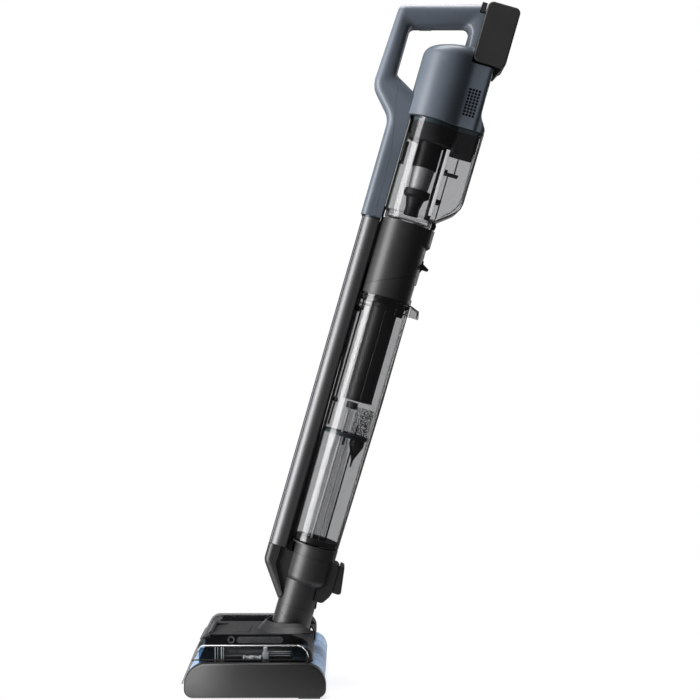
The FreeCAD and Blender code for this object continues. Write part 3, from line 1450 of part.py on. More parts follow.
def motor_housing():
    """The rounded housing of the suction motor, with its flare over the dust cup."""
    low, top = S.motor_low, S.dome_back_z + 20
    wall = S.motor_wall
    dome = plan("motor_plan", S.motor_x, S.motor_radius, S.motor_half_width, S.motor_back,
                S.motor_back_round, low, top)
    front = S.motor_x - S.motor_radius - S.fit / 3
    cheek = S.post_back - S.fit
    side = number(S.motor_half_width)
    pocket(dome, "XZ", zero - 60, zero + 60, [
        (front, S.dome_front_z), (cheek, S.dome_back_z),
        (cheek, S.motor_shoulder), (S.motor_back + 1, S.motor_shoulder),
        (S.motor_back + 1, top + 1), (front, top + 1)])
    crown = number(S.dome_front_z) - 2
    fillet(dome, S.dome_round, lambda edge: edge.BoundBox.ZMin > crown
           and edge.BoundBox.XMin < number(S.hole_back) - 5)
    fillet(dome, S.motor_blend, lambda edge: edge.BoundBox.ZLength > 50
           and abs(abs(edge.BoundBox.Center.y) - side) < 0.01
           and edge.BoundBox.Center.x < number(S.vent_x))
    slot = S.arm_half_width + S.fit
    pocket(dome, "XY", S.motor_shoulder, top,
           box(S.hole_back - S.fit, S.post_back + 1, -slot, slot))
    flare = combined(
        "MultiCommon", "motor_flare",
        plan("flare_plan", S.tank_x, S.cup_radius, S.cup_half_width, S.flare_back,
             S.cup_back_round, low, S.flare_high + S.flare_round),
        prism("flare_side", 60, [
            (S.motor_back - 20, low), (S.flare_back, low), (S.flare_back, S.flare_low),
            (S.motor_back + S.fit, S.flare_high, S.flare_round),
            (S.motor_back - S.fit, S.flare_high + S.flare_round),
            (S.motor_back - 20, S.flare_high + S.flare_round)]))
    solid = combined("MultiFuse", "motor_solid", dome, flare)
    hollow = plan("motor_hollow", S.motor_x, S.motor_radius - wall, S.motor_half_width - wall,
                  S.motor_back - wall, S.motor_back_round - wall, low + wall,
                  S.motor_shoulder - wall * 2)
    rod(hollow, "XY", low - 1, low + wall, (S.motor_x, zero, S.fan_radius))
    vents = new_body("vents")
    spots = [(S.vent_x + column * S.vent_pitch, S.vent_z + (row - 4) * S.vent_pitch,
              S.vent_radius) for column in range(4) for row in range(9)]
    rod(vents, "XZ", -S.motor_radius, S.motor_radius, *spots)
    tools = combined("MultiFuse", "motor_tools", hollow, vents)
    keep(leaned(combined("Cut", "motor_housing", solid, tools)), "motor_housing")

    engine = new_body("engine")
    rod(engine, "XY", S.engine_low, S.engine_high, (zero, zero, S.engine_radius))
    bore(engine, "XY", S.engine_low, S.engine_low + 22, (zero, zero, S.fan_shaft + running))
    keep(leaned(engine, S.motor_x), "suction_motor")

    fan = new_body("fan")
    rod(fan, "XY", S.fan_z, S.engine_low + 20, (zero, zero, S.fan_shaft))
    rod(fan, "XY", S.fan_z, S.fan_z + S.fan_height, (zero, zero, S.fan_hub))
    outlines = []
    for blade in range(9):
        angle = math.radians(blade * 40)
        along = Vector(math.cos(angle), math.sin(angle))
        across = Vector(-along.y, along.x)
        outlines.append(([
            (reach * along.x + side * across.x, reach * along.y + side * across.y)
            for reach, side in ((S.fan_hub * 0.8, -1), (S.fan_radius, -1), (S.fan_radius, 1),
                                (S.fan_hub * 0.8, 1))],))
    sweep(fan, "PartDesign::Pad", "XY", S.fan_z, S.fan_z + S.fan_height, outline, *outlines)
    keep(leaned(fan, S.motor_x), "impeller")


def battery():
    body = new_body("battery_body")
    half = S.battery_half_width
    pad(body, "XZ", -half, half,
        box(S.battery_front, S.battery_back, S.battery_low, S.battery_high, S.battery_round))
    fillet(body, S.battery_edge,
           lambda edge: lies_at(edge, "Y", half) or lies_at(edge, "Y", -half))
    side = S.rail_half_width + S.fit
    pocket(body, "XY", S.battery_low, S.rail_high + S.fit,
           box(S.battery_front - 1, S.post_back + S.rail_out + S.fit, -side, side))
    foot = S.motor_back + S.fit * 2
    pad(body, "XZ", -half / 2, half / 2, [
        (foot, S.battery_low - 14), (foot + 4, S.battery_low - 13),
        (S.battery_back - 3, S.battery_low + 3), (foot, S.battery_low + 3)])
    keep(leaned(body), "battery_pack")

    button = new_body("battery_button_body")
    width = S.arm_half_width - S.fit * 2
    front = S.post_back - S.latch_depth + S.fit
    pad(button, "XZ", -width, width,
        box(front, S.post_back - S.fit, S.latch_low, S.latch_high, S.fit * 3))
    keep(leaned(button), "battery_release_button")


def dust_cup():
    wall = S.cup_wall
    low, top = S.cup_low, S.cup_top
    outside = combined(
        "MultiCommon", "cup_outside",
        plan("cup_plan", S.tank_x, S.cup_radius, S.cup_half_width, S.cup_back, S.cup_back_round,
             low, top),
        prism("cup_side", 60, [
            (zero - 60, low), (S.cup_foot_x, low), (S.cup_back - 1.5, S.cup_belly_z,
                                                   S.cup_belly_round),
            (S.cup_back, top), (zero - 60, top)]))
    inside = combined(
        "MultiCommon", "cup_inside",
        plan("cup_inner_plan", S.tank_x, S.cup_radius - wall, S.cup_half_width - wall,
             S.cup_back - wall, S.cup_back_round - wall, low, top + 5),
        prism("cup_inner_side", 60, [
            (zero - 60, low + wall), (S.cup_foot_x - wall / 2, low + wall),
            (S.cup_back - 1.5 - wall, S.cup_belly_z + wall / 3, S.cup_belly_round - wall),
            (S.cup_back - wall, top + 5), (zero - 60, top + 5)]))
    mouth = new_body("cup_mouth")
    rod(mouth, "XY", low - 1, low + wall * 2, (S.tank_x, zero, S.cup_radius - wall * 3))
    tools = combined("MultiFuse", "cup_tools", inside, mouth)
    keep(leaned(combined("Cut", "dust_cup", outside, tools)), "dust_cup")

    lid = new_body("cup_lid_body")
    lid_top = low - S.fit
    rod(lid, "XY", S.cup_lid_low, lid_top, (S.tank_x, zero, S.cup_foot_radius))
    bore(lid, "XY", S.cup_lid_low + wall, lid_top,
         (S.tank_x, zero, S.cup_foot_radius - wall * 1.5))
    pipe = S.inlet_bore - S.fit * 2
    rod(lid, "XY", S.cup_lid_low - 8, S.cup_lid_low + wall, (S.tank_x, zero, pipe))
    bore(lid, "XY", S.cup_lid_low - 8, S.cup_lid_low + wall, (S.tank_x, zero, pipe - wall))
    keep(leaned(lid), "cup_lid")

    latch = new_body("latch")
    start = S.tank_x + S.cup_foot_radius + S.fit * 2
    half = S.cup_latch_half_width
    pad(latch, "XZ", -half, half, [
        (start, S.cup_lid_low - 1), (start + S.cup_latch_length, S.cup_lid_low - 1),
        (start + S.cup_latch_length + 1, S.cup_lid_low + 5),
        (start + S.cup_latch_length - 1, lid_top - S.fit), (start, lid_top - S.fit)])
    keep(leaned(latch), "cup_latch")

    stage = S.cyclone_high + S.fit
    filter_body = new_body("filter")
    rod(filter_body, "XY", stage, S.filter_low, (S.tank_x, zero, S.filter_radius))
    rod(filter_body, "XY", S.filter_low, S.filter_high,
        (S.tank_x, zero, S.cup_radius - wall - S.fit))
    rear = S.cup_half_width - wall * 2.5
    pad(filter_body, "XY", S.filter_block_low, S.filter_high,
        box(S.tank_x + S.filter_radius - 1, S.cup_back - wall * 2.5, -rear, rear,
            S.cup_back_round - wall))
    bore(filter_body, "XY", stage, S.filter_high, (S.cyclone_x, zero, S.cyclone_radius / 2))
    keep(leaned(filter_body), "pre_filter")

    ring = new_body("filter_ring_body")
    radius = S.cup_radius - wall - S.fit
    pad(ring, "XY", S.filter_high + S.fit, top - S.fit / 2,
        box(S.tank_x + S.filter_radius - 1, S.cup_back - wall * 2.5, -rear, rear,
            S.cup_back_round - wall))
    rod(ring, "XY", S.filter_high + S.fit, top - S.fit / 2, (S.tank_x, zero, radius))
    bore(ring, "XY", S.filter_high + S.fit, top - S.fit / 2, (S.tank_x, zero, radius - 6))
    keep(leaned(ring), "filter_ring")

    thin = S.mesh_wall
    cyclone = new_body("cyclone")
    turned(cyclone, "XZ", [
        (S.cyclone_radius - thin, S.cyclone_low), (S.cyclone_radius, S.cyclone_low),
        (S.cyclone_radius, S.cyclone_high), (S.cyclone_radius / 2, S.cyclone_high),
        (S.cyclone_radius / 2, S.cyclone_high - thin),
        (S.cyclone_radius - thin, S.cyclone_high - thin)])
    keep(leaned(cyclone, S.cyclone_x), "cyclone_body")
    mesh = new_body("mesh_cone_body")
    high = S.cyclone_low - S.fit
    turned(mesh, "XZ", [
        (S.cone_low_radius - thin, S.cone_low), (S.cone_low_radius, S.cone_low),
        (S.cone_top_radius, high), (S.cone_top_radius - thin, high)])
    keep(leaned(mesh, S.cyclone_x), "mesh_cone")
    funnel = new_body("funnel")
    rim = S.cone_low - S.fit
    turned(funnel, "XZ", [
        (S.funnel_radius - thin, S.funnel_rim + 2), (S.cone_low_radius - 4, rim - thin),
        (S.cone_low_radius - 4, rim), (S.funnel_radius, rim), (S.funnel_radius, S.funnel_rim),
        (S.funnel_shoulder, S.funnel_rim - 4), (S.funnel_neck, S.funnel_neck_z),
        (S.funnel_base, S.cup_low + 6), (S.funnel_base, S.cup_low + 1),
        (S.funnel_neck - 3, S.cup_low + 1), (S.funnel_neck - 3, S.funnel_neck_z),
        (S.funnel_shoulder - thin * 2.4, S.funnel_rim - 2.5)])
    keep(leaned(funnel, S.cyclone_x), "dust_funnel")
    pipe_body = new_body("inlet")
    radius = S.inlet_pipe_radius
    rod(pipe_body, "XY", S.cup_low + 1, S.cyclone_high, (zero, zero, radius))
    bore(pipe_body, "XY", S.cup_low + 1, S.cyclone_high, (zero, zero, radius - thin))
    keep(leaned(pipe_body, S.inlet_pipe_x), "inlet_pipe")


chassis()
end_cap(1, "far_end_cap")
end_cap(-1, "near_end_cap")
roller(-half_spacing, "front_roller")
roller(half_spacing, "rear_roller")
suction_duct()
scraper(-1, "front_scrapers")
scraper(1, "rear_scrapers")
rail()
tilt_pins()
head_cover()
tilt_yoke()
swivel_neck()
lower_housing()
elbow_cover()
spine()
tank_rest()
dock()
tank()
tank_lid()
upper_housing()
handle()
motor_housing()
battery()
dust_cup()


def finish():
    """Check every object, then write one STEP file for each piece."""
    doc.recompute()
    for thing in doc.Objects:
        if "Invalid" in thing.State or "Error" in thing.State:
            raise RuntimeError(f"{thing.Name} failed: {thing.State}")
    for piece in nodes:
        shape = piece.Shape
        if shape.isNull() or not shape.isValid() or not shape.Solids:
            raise RuntimeError(f"{piece.Label} has no valid solid")
    os.makedirs("parts", exist_ok=True)
    for piece in nodes:
        piece.Shape.exportStep(f"parts/{piece.Label}.step")
        print(f"{piece.Label}: {len(piece.Shape.Solids)} solid, {piece.Shape.Volume / 1000:.1f} cm3")


finish()
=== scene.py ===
# %% [markdown]
# # A wet dry floor scrubber, dressed for its portrait
# The machine washes and vacuums a hard floor in one pass. Two microfibre rollers scrub, a motor in the
# hand unit draws the dirty water up into the clear tank, and dust ends in the clear cup under the handle.
# Its hard parts are loaded as finished solids. This lesson gives each one its finish, and models the small and soft
# things that solids do badly: the roller pile and the seals, with painted shade in the vents and painted highlights
# along some edges.

# %% Load the solids
import math
import bmesh
import bpy
from mathutils import Matrix, Vector, noise


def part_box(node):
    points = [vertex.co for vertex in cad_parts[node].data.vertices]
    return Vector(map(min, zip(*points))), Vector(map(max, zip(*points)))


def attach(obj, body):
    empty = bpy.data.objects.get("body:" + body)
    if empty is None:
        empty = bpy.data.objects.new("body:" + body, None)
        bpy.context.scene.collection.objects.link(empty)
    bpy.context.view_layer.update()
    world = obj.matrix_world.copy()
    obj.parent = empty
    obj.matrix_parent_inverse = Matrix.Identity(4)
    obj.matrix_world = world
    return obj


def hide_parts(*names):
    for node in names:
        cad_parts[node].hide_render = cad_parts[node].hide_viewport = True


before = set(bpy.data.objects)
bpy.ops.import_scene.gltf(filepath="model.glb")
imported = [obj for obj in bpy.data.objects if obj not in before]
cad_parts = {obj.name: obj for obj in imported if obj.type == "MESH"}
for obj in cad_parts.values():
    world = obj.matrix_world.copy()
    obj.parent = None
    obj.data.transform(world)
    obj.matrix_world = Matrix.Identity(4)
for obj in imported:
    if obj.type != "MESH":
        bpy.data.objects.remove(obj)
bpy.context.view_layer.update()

# %% [markdown]
# ## Where things are
# Every solid keeps its place in its mesh, so a box round a node says where a piece goes. The upright part
# leans back by 16 degrees about the pivot in the head. `leaned` turns a place along and across the column
# into a place in the room, which keeps the numbers of the upper pieces simple.

# %% Places
LEAN = math.radians(16)
PIVOT = Vector((-0.10598, 0, 0.072))
TILT = Matrix.Rotation(LEAN, 3, "Y")
ON_ITS_SIDE = Matrix.Rotation(math.radians(90), 3, "X")
NEAR, FAR = -1, 1


def leaned(across, side, along):
    """A point given across, to the side of and along the leaning column, in millimetres."""
    x = across * math.cos(LEAN) + along * math.sin(LEAN)
    z = along * math.cos(LEAN) - across * math.sin(LEAN)
    return PIVOT + Vector((x, side, z)) / 1000


def in_room(x, y, z):
    """A point of the room, given in millimetres."""
    return Vector((x, y, z)) / 1000


print("top of the column:", tuple(round(v, 3) for v in leaned(0, 0, 676)))

# %% [markdown]
# ## Arithmetic on sockets
# A procedural finish is mostly arithmetic: a pattern times a strength, one minus a mask. Nodes can be wired by
# hand, but a formula is easier to read. `Wire` wraps a socket and turns each operator into a Math node, and
# `Finish.add` puts in any other node by its type, its settings and its inputs.

# %% Wires and finishes
class Wire:
    """An output socket that takes part in ordinary arithmetic."""

    def __init__(self, finish, socket):
        self.finish, self.socket = finish, socket

    def does(self, operation, *others):
        """Puts in a Math node by the name of its operation."""
        return self.finish.add("ShaderNodeMath", {"operation": operation}, dict(enumerate((self, *others))))

    def __add__(self, other): return self.does("ADD", other)
    def __sub__(self, other): return self.does("SUBTRACT", other)
    def __mul__(self, other): return self.does("MULTIPLY", other)
    def __truediv__(self, other): return self.does("DIVIDE", other)
    def __mod__(self, other): return self.does("FLOORED_MODULO", other)

    def __rsub__(self, other):
        return self.finish.add("ShaderNodeMath", {"operation": "SUBTRACT"}, {0: other, 1: self})


class Finish:
    """A material under construction."""

    def __init__(self, name):
        self.material = bpy.data.materials.new(name)
        self.material.use_nodes = True
        self.tree = self.material.node_tree
        self.tree.nodes.clear()
        self.place = self.add("ShaderNodeTexCoord", out="Object")

    def add(self, kind, settings=None, inputs=None, out=0):
        """Puts in one node and gives back one of its outputs."""
        node = self.tree.nodes.new(kind)
        for key, value in (settings or {}).items():
            setattr(node, key, value)
        for key, value in (inputs or {}).items():
            if isinstance(value, Wire):
                self.tree.links.new(value.socket, node.inputs[key])
            elif value is not None:
                node.inputs[key].default_value = value
        return Wire(self, node.outputs[out])

    def axes(self, place=None):
        """The x, y and z of a place."""
        x = self.add("ShaderNodeSeparateXYZ", None, {0: place or self.place})
        return [Wire(self, output) for output in x.socket.node.outputs]

    def noise(self, scale, detail=2.0, rough=0.5, place=None):
        """Soft noise, with the scale in repeats per metre."""
        inputs = {"Vector": place or self.place, "Scale": scale, "Detail": detail, "Roughness": rough}
        return self.add("ShaderNodeTexNoise", None, inputs, "Fac")

    def blend(self, factor, first, second):
        """Mixes two colours."""
        return self.add("ShaderNodeMix", {"data_type": "RGBA"}, {0: factor, 6: first, 7: second}, 2)

    def steps(self, value, low, high):
        """A smooth ramp from nought at the low value to one at the high value."""
        return self.add("ShaderNodeMapRange", {"interpolation_type": "SMOOTHSTEP"},
                        {"Value": value, "From Min": low, "From Max": high}, "Result")

    def bump(self, height, distance, strength=1.0, normal=None):
        """A relief on top of another normal, with the distance in metres."""
        inputs = {"Height": height, "Distance": distance, "Strength": strength, "Normal": normal}
        return self.add("ShaderNodeBump", None, inputs, "Normal")

    def gloss(self, inputs):
        return self.add("ShaderNodeBsdfPrincipled", None, inputs, "BSDF")

    def see_through(self, tint=(1, 1, 1, 1)):
        return self.add("ShaderNodeBsdfTransparent", None, {"Color": tint})

    def layers(self, factor, first, second):
        """Mixes two shaders."""
        return self.add("ShaderNodeMixShader", None, {0: factor, 1: first, 2: second})

    def done(self, shader, blended=False):
        """Wires the shader to the surface and gives back the material."""
        surface = self.tree.nodes.new("ShaderNodeOutputMaterial").inputs["Surface"]
        self.tree.links.new(shader.socket, surface)
        if blended:
            self.material.surface_render_method = "BLENDED"
        return self.material


def tone(red, green, blue):
    """A colour as seen on a screen, from 0 to 255, turned into the linear values that a shader takes."""
    def linear(v):
        v = v / 255
        return v / 12.92 if v < 0.04045 else ((v + 0.055) / 1.055) ** 2.4
    return (linear(red), linear(green), linear(blue), 1)


def varied(colour, factor, lift=0.0):
    """A lighter or darker neighbour of a colour."""
    return tuple(min(1, c * factor + lift) for c in colour[:3]) + (1,)


print("mid grey is", round(tone(128, 128, 128)[0], 3))

# %% [markdown]
# ## Moulded plastic
# A moulded casing isn't flat: the tool leaves a fine even grain, the colour drifts a little, handling polishes
# some places and fine dust dulls others. A colour and one roughness would look like a toy, and a painted image
# would need unwrapping, so noise at several scales on object coordinates does the work.

# %% Moulded plastics
DRIFT_SCALE, DUST_SCALE, HANDLING_SCALE, GRAIN_SCALE = 9, 60, 420, 2600  # repeats per metre
GRAIN_DEPTH, FINE_GRAIN = 0.00004, 0.00001  # metres
DRIFT = 0.12


def moulded(name, colour, rough, grain=GRAIN_DEPTH, coat=0.0, scale=GRAIN_SCALE, crown=None):
    """A satin moulding. A crown is a height, in metres, that rounds a surface that was made flat."""
    f = Finish(name)
    broad, fine = f.noise(DRIFT_SCALE, 3), f.noise(scale, 2)
    dust = f.steps(f.noise(DUST_SCALE, 6, 0.65), 0.52, 0.8)
    shade = f.blend(f.steps(broad, 0.3, 0.7), varied(colour, 1 - DRIFT), varied(colour, 1 + DRIFT, 0.002))
    shade = f.blend(dust * 0.10, shade, varied(colour, 1.5, 0.012))
    swell = f.bump(crown(f), 1.0) if crown else None
    handled = f.bump(f.noise(HANDLING_SCALE, 2), grain * 2, 0.25, swell)
    shader = f.gloss({"Base Color": shade, "Roughness": (broad - 0.5) * 0.10 + dust * 0.08 + rough,
                      "Normal": f.bump(fine, grain, 0.7, handled), "IOR": 1.48, "Coat Weight": coat,
                      "Coat Roughness": 0.2})
    return f.done(shader)


# The hand hole from the side, in metres: its flat top, its back, and a point and the outward way of two edges.
HOLE_TOP, HOLE_BACK = 1.042, 0.18
FRONT_EDGE, FRONT_FACES = (0.0913, HOLE_TOP), (-0.967, 0.256)
LOW_EDGE, LOW_FACES = (0.0704, 0.963), (-0.625, -0.78)
SOFT_CORNER, BAND, BAND_UNDER_GRIP = 0.012, 0.024, 0.026
BOW_CURVE, CAP_CURVE, CAP_MIDDLE = -14, -2.4, -0.13


def bow_swell(f):
    """Height that rounds the handle towards the hand hole, from the distance to the hole's sides."""
    x, _, z = f.axes()
    front = (x - FRONT_EDGE[0]) * FRONT_FACES[0] + (z - FRONT_EDGE[1]) * FRONT_FACES[1]
    low = (x - LOW_EDGE[0]) * LOW_FACES[0] + (z - LOW_EDGE[1]) * LOW_FACES[1]
    sides = front.does("SMOOTH_MAX", low, SOFT_CORNER).does("SMOOTH_MAX", x - HOLE_BACK, SOFT_CORNER)
    inward = (sides * -1 + BAND).does("MAXIMUM", 0)
    under = ((z - HOLE_TOP) * -1 + BAND_UNDER_GRIP).does("MAXIMUM", 0)
    both = inward.does("SMOOTH_MIN", under, SOFT_CORNER).does("MAXIMUM", 0)
    return both * both * BOW_CURVE


def cap_swell(f):
    """Height that rounds an end cap of the head from front to back."""
    x = f.axes()[0] - CAP_MIDDLE
    return x * x * CAP_CURVE


blue_grey = moulded("blue_grey_casing", tone(89, 96, 106), 0.38)
handle_grey = moulded("handle_casing", tone(89, 96, 106), 0.38, crown=bow_swell)
blue_dark = moulded("blue_grey_trim", tone(58, 68, 73), 0.38)
ring_teal = moulded("filter_ring_teal", tone(82, 98, 104), 0.42)
charcoal = moulded("charcoal_casing", tone(36, 36, 37), 0.4)
end_cap_shell = moulded("crowned_end_cap", tone(28, 28, 29), 0.42, crown=cap_swell)
charcoal_head = moulded("charcoal_head_top", tone(36, 36, 37), 0.42)
battery_grey = moulded("battery_casing", tone(38, 38, 38), 0.52, grain=0.00006)
black = moulded("black_inner_plastic", tone(20, 20, 21), 0.42)
soft_black = moulded("soft_black_inner", tone(34, 34, 36), 0.5)
smoke_grey = moulded("grey_inner_plastic", tone(78, 80, 82), 0.4)
filter_grey = moulded("pleated_filter_felt", tone(50, 50, 52), 0.8, grain=0.00005, scale=900)
milky = moulded("milky_plastic", tone(168, 170, 172), 0.3, coat=0.3)
print("moulded finishes:", len(bpy.data.materials))

# %% [markdown]
# ## Clear plastic
# The tank, the cup and the head's cover are clear polycarbonate, thin walled. Real refraction costs many rays and
# darkens what is behind, so the wall is a tinted see-through layer with a reflection on top. Seen edge on, the
# light runs a long way in the wall, which is why the outline of a clear part looks dark: a facing mask does that.

# %% Clear plastics
def clear(name, tint, edge, gloss, edge_strength=0.9, specks=0.03, glare=0.05, edge_gloss=0.5):
    """A thin clear wall: gloss is its reflection from the front, glare what is added at a grazing look."""
    f = Finish(name)
    scuffs = f.steps(f.noise(34), 0.5, 0.8)
    dark = f.gloss({"Base Color": edge, "Roughness": 0.25, "Specular IOR Level": edge_gloss})
    shine = f.gloss({"Base Color": (0.8, 0.8, 0.8, 1), "Roughness": scuffs * 0.02 + 0.13, "Metallic": 1.0})
    facing = f.add("ShaderNodeLayerWeight", None, {"Blend": 0.5}, "Facing")
    rim = f.steps(facing, 0.52, 0.74) * edge_strength + scuffs * specks
    grazing = facing.does("POWER", 8)
    wall = f.layers(rim, f.see_through(tint), dark)
    return f.done(f.layers(grazing * glare + gloss, wall, shine), blended=True)


tank_clear = clear("tank_clear_plastic", (0.765, 0.768, 0.77, 1), tone(20, 20, 22), gloss=0.034)
cup_clear = clear("cup_clear_plastic", (0.79, 0.792, 0.795, 1), tone(26, 26, 28), gloss=0.028, edge_strength=0.75)
cover_clear = clear("cover_clear_plastic", (0.9, 0.905, 0.91, 1), tone(6, 6, 7), gloss=0.016, edge_strength=0.62,
                    specks=0.0, glare=0.02, edge_gloss=0.0)
riser_clear = clear("riser_clear_plastic", (0.875, 0.878, 0.88, 1), tone(70, 70, 72), gloss=0.01,
                    edge_strength=0.2, specks=0.0)
print("clear finishes: tank, cup, cover and riser")

# %% [markdown]
# ## Brushed metal
# The column is a dark anodised tube with a strip of its own down its front. Brushing leaves hair lines along the
# length, so a noise is squeezed along the column until it is streaks, which then break up the roughness.

# %% Brushed metals
STREAK_STRETCH, STREAK_DEPTH = 100, 0.00002


def brushed(name, colour, rough, streak=0.12):
    """Metal brushed along the leaning column; streak is how far the lines change its roughness."""
    f = Finish(name)
    along = f.add("ShaderNodeMapping", {"vector_type": "TEXTURE"},
                  {"Vector": f.place, "Rotation": (0, LEAN, 0), "Scale": (1, 1, STREAK_STRETCH)})
    lines = f.noise(1500, 3, 0.6, along)
    broad = f.noise(14, 3)
    return f.done(f.gloss({"Base Color": f.blend(lines, varied(colour, 0.85), varied(colour, 1.15)),
                           "Metallic": 1.0, "Roughness": lines * streak + (broad - 0.5) * 0.08 + rough,
                           "Normal": f.bump(lines, STREAK_DEPTH, 0.6)}))


column_metal = brushed("column_anodised", tone(93, 93, 94), 0.38)
strip_metal = brushed("strip_anodised", tone(64, 65, 68), 0.36, 0.04)
bright_metal = brushed("bright_fitting", tone(190, 190, 188), 0.24)
print("metals: column, strip and fittings")

# %% Rubber, rails, vents and screens
def rubber(name, colour):
    """Dull rubber that has picked up dust."""
    f = Finish(name)
    grain, dust = f.noise(900, 3), f.steps(f.noise(45, 6, 0.6), 0.5, 0.8)
    return f.done(f.gloss({"Base Color": f.blend(dust * 0.3, colour, varied(colour, 2, 0.02)),
                           "Roughness": dust * 0.12 + 0.62, "Normal": f.bump(grain, 0.00006, 0.5)}))


def hole_depth_shade(name, darker, lighter):
    """A matt black with almost no reflection, which paints the shade in the depth of a hole."""
    f = Finish(name)
    return f.done(f.gloss({"Base Color": f.blend(f.noise(300), darker, lighter), "Roughness": 0.9,
                           "Specular IOR Level": 0.03}))


def screen(name, colour, pitch, hole, uneven=0.0):
    """A net cut out of a sheet: the pitch of its holes in metres, their radius as a part of that pitch."""
    f = Finish(name)
    turned = f.add("ShaderNodeMapping", None, {"Vector": f.place, "Rotation": (0, -LEAN, 0)})
    cell = f.add("ShaderNodeTexVoronoi", {"feature": "F1"},
                 {"Vector": turned, "Scale": 1 / pitch, "Randomness": uneven}, "Distance")
    net = f.steps(cell, hole, hole + 0.08)
    return f.done(f.gloss({"Base Color": f.blend(f.noise(300), colour, varied(colour, 0.7)), "Metallic": 0.5,
                           "Roughness": f.noise(500) * 0.2 + 0.4, "Alpha": net,
                           "Normal": f.bump(net, 0.0001, 0.4)}))


seal_black = rubber("black_rubber", tone(18, 18, 19))
rail_white = moulded("rail_white", tone(240, 241, 243), 0.3)
# Painted shade: a near black for the depth of the vent holes.
vent_shadow = hole_depth_shade("vent_shadow", tone(2, 2, 2), tone(6, 6, 6))
mesh_sheet = screen("fine_black_screen", tone(126, 126, 128), pitch=0.0019, hole=0.6, uneven=1.0)
cone_sheet = screen("steel_cone_screen", tone(214, 214, 215), pitch=0.0012, hole=0.16)
print("rubber, rail, vent and screen finishes made")

# %% [markdown]
# ## Dressing the solids
# Each solid has empty material slots. A short table of finish and names is easier to check than sixty separate
# assignments: any solid that the table forgets is printed, and only the two roller sleeves should be, since
# they get their pile further on.

# %% The table of finishes
finishes = {
    blue_grey: "motor_housing trigger",
    handle_grey: "handle_frame",
    blue_dark: "separator_plate",
    ring_teal: "filter_ring",
    charcoal: "upper_housing lower_housing elbow_cover swivel_neck tilt_yoke dock_block dock_contacts tank_foot "
              "tank_lid tank_release_lever head_release_button",
    end_cap_shell: "near_end_cap far_end_cap",
    charcoal_head: "head_top_cover roller_release_button",
    battery_grey: "battery_pack battery_release_button",
    black: "tank_rest head_chassis suction_duct air_duct tank_foot_seal cup_latch front_roller_core "
           "rear_roller_core front_roller_coupler rear_roller_coupler impeller cyclone_body level_probe "
           "deflector_cone",
    filter_grey: "pre_filter",
    soft_black: "dust_funnel inlet_pipe",
    riser_clear: "tank_riser",
    tank_clear: "tank_shell",
    cup_clear: "dust_cup cup_lid",
    cover_clear: "clear_cover",
    column_metal: "spine_column",
    strip_metal: "spine_front_strip spine_end_ring",
    rail_white: "water_rails",
    bright_metal: "tilt_pins suction_motor front_roller_motor rear_roller_motor",
    seal_black: "front_scrapers rear_scrapers",
    mesh_sheet: "mesh_cup",
    cone_sheet: "mesh_cone",
}


def dress(node, material):
    """Puts a finish in every material slot of a solid."""
    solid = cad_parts[node]
    if not solid.material_slots:
        solid.data.materials.append(material)
    for slot in solid.material_slots:
        slot.material = material


for material, names in finishes.items():
    for name in names.split():
        dress(name, material)
bare = sorted(set(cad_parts) - set(" ".join(finishes.values()).split()))
print("still without a finish here:", bare)

# %% [markdown]
# ## Making a piece
# Every piece made here starts as a bmesh, is shaped by operators where it stands, and ends as an object at the
# origin that rides on a body, so the piece moves when the machine is tilted or taken apart. Most of the small
# pieces are rounded blocks, given by two corners in the room or in the leaning frame.

# %% A maker for pieces
def piece(name, mesh, material, body, smooth=True):
    """Turns a finished bmesh into an object that rides on a body."""
    bmesh.ops.remove_doubles(mesh, verts=mesh.verts, dist=0.00001)
    bmesh.ops.recalc_face_normals(mesh, faces=mesh.faces)
    data = bpy.data.meshes.new(name)
    mesh.to_mesh(data)
    mesh.free()
    data.materials.append(material)
    for face in data.polygons:
        face.use_smooth = smooth
    thing = bpy.data.objects.new(name, data)
    bpy.context.scene.collection.objects.link(thing)
    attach(thing, body)
    return thing


def rounded_block(mesh, size, centre, radius, turn=None):
    """Adds a block with rounded edges to a bmesh, in metres."""
    made = bmesh.ops.create_cube(mesh, size=1)["verts"]
    bmesh.ops.scale(mesh, vec=size, verts=made)
    edges = list({e for v in made for e in v.link_edges})
    rounded = bmesh.ops.bevel(mesh, geom=edges, offset=radius, segments=2, affect="EDGES", profile=0.5, material=-1)
    made = list({v for v in made if v.is_valid} | set(rounded["verts"]))
    if turn:
        bmesh.ops.rotate(mesh, verts=made, cent=(0, 0, 0), matrix=turn)
    bmesh.ops.translate(mesh, verts=made, vec=centre)


def block_between(mesh, low, high, radius):
    """A rounded block from one corner to the other, in millimetres."""
    low, high = Vector(low), Vector(high)
    rounded_block(mesh, (high - low) / 1000, (low + high) / 2000, radius / 1000)


def leaning_block(mesh, low, high, radius):
    """A rounded block from one corner to the other of the leaning frame, in millimetres."""
    low, high = Vector(low), Vector(high)
    rounded_block(mesh, (high - low) / 1000, leaned(*(low + high) / 2), radius / 1000, turn=TILT)


def blocks(kind, *rows):
    """A new bmesh of blocks of one kind, a row for each: low corner, high corner and radius."""
    mesh = bmesh.new()
    for low, high, radius in rows:
        kind(mesh, low, high, radius)
    return mesh


print("pieces can be made")

# %% [markdown]
# ## Roller pile
# The rollers wear a sleeve of short microfibre. From a step away it reads as a soft uneven cylinder with the
# helical seam where the strip of fabric was wound on its tube. A cylinder with many rings is pushed in and out by
# noise, deepest along the seam: real fibres by the hundred thousand would say no more at this size.

# %% Microfibre
WINDS = 22  # turns of the fabric strip per metre
FULL_TURN = 2 * math.pi


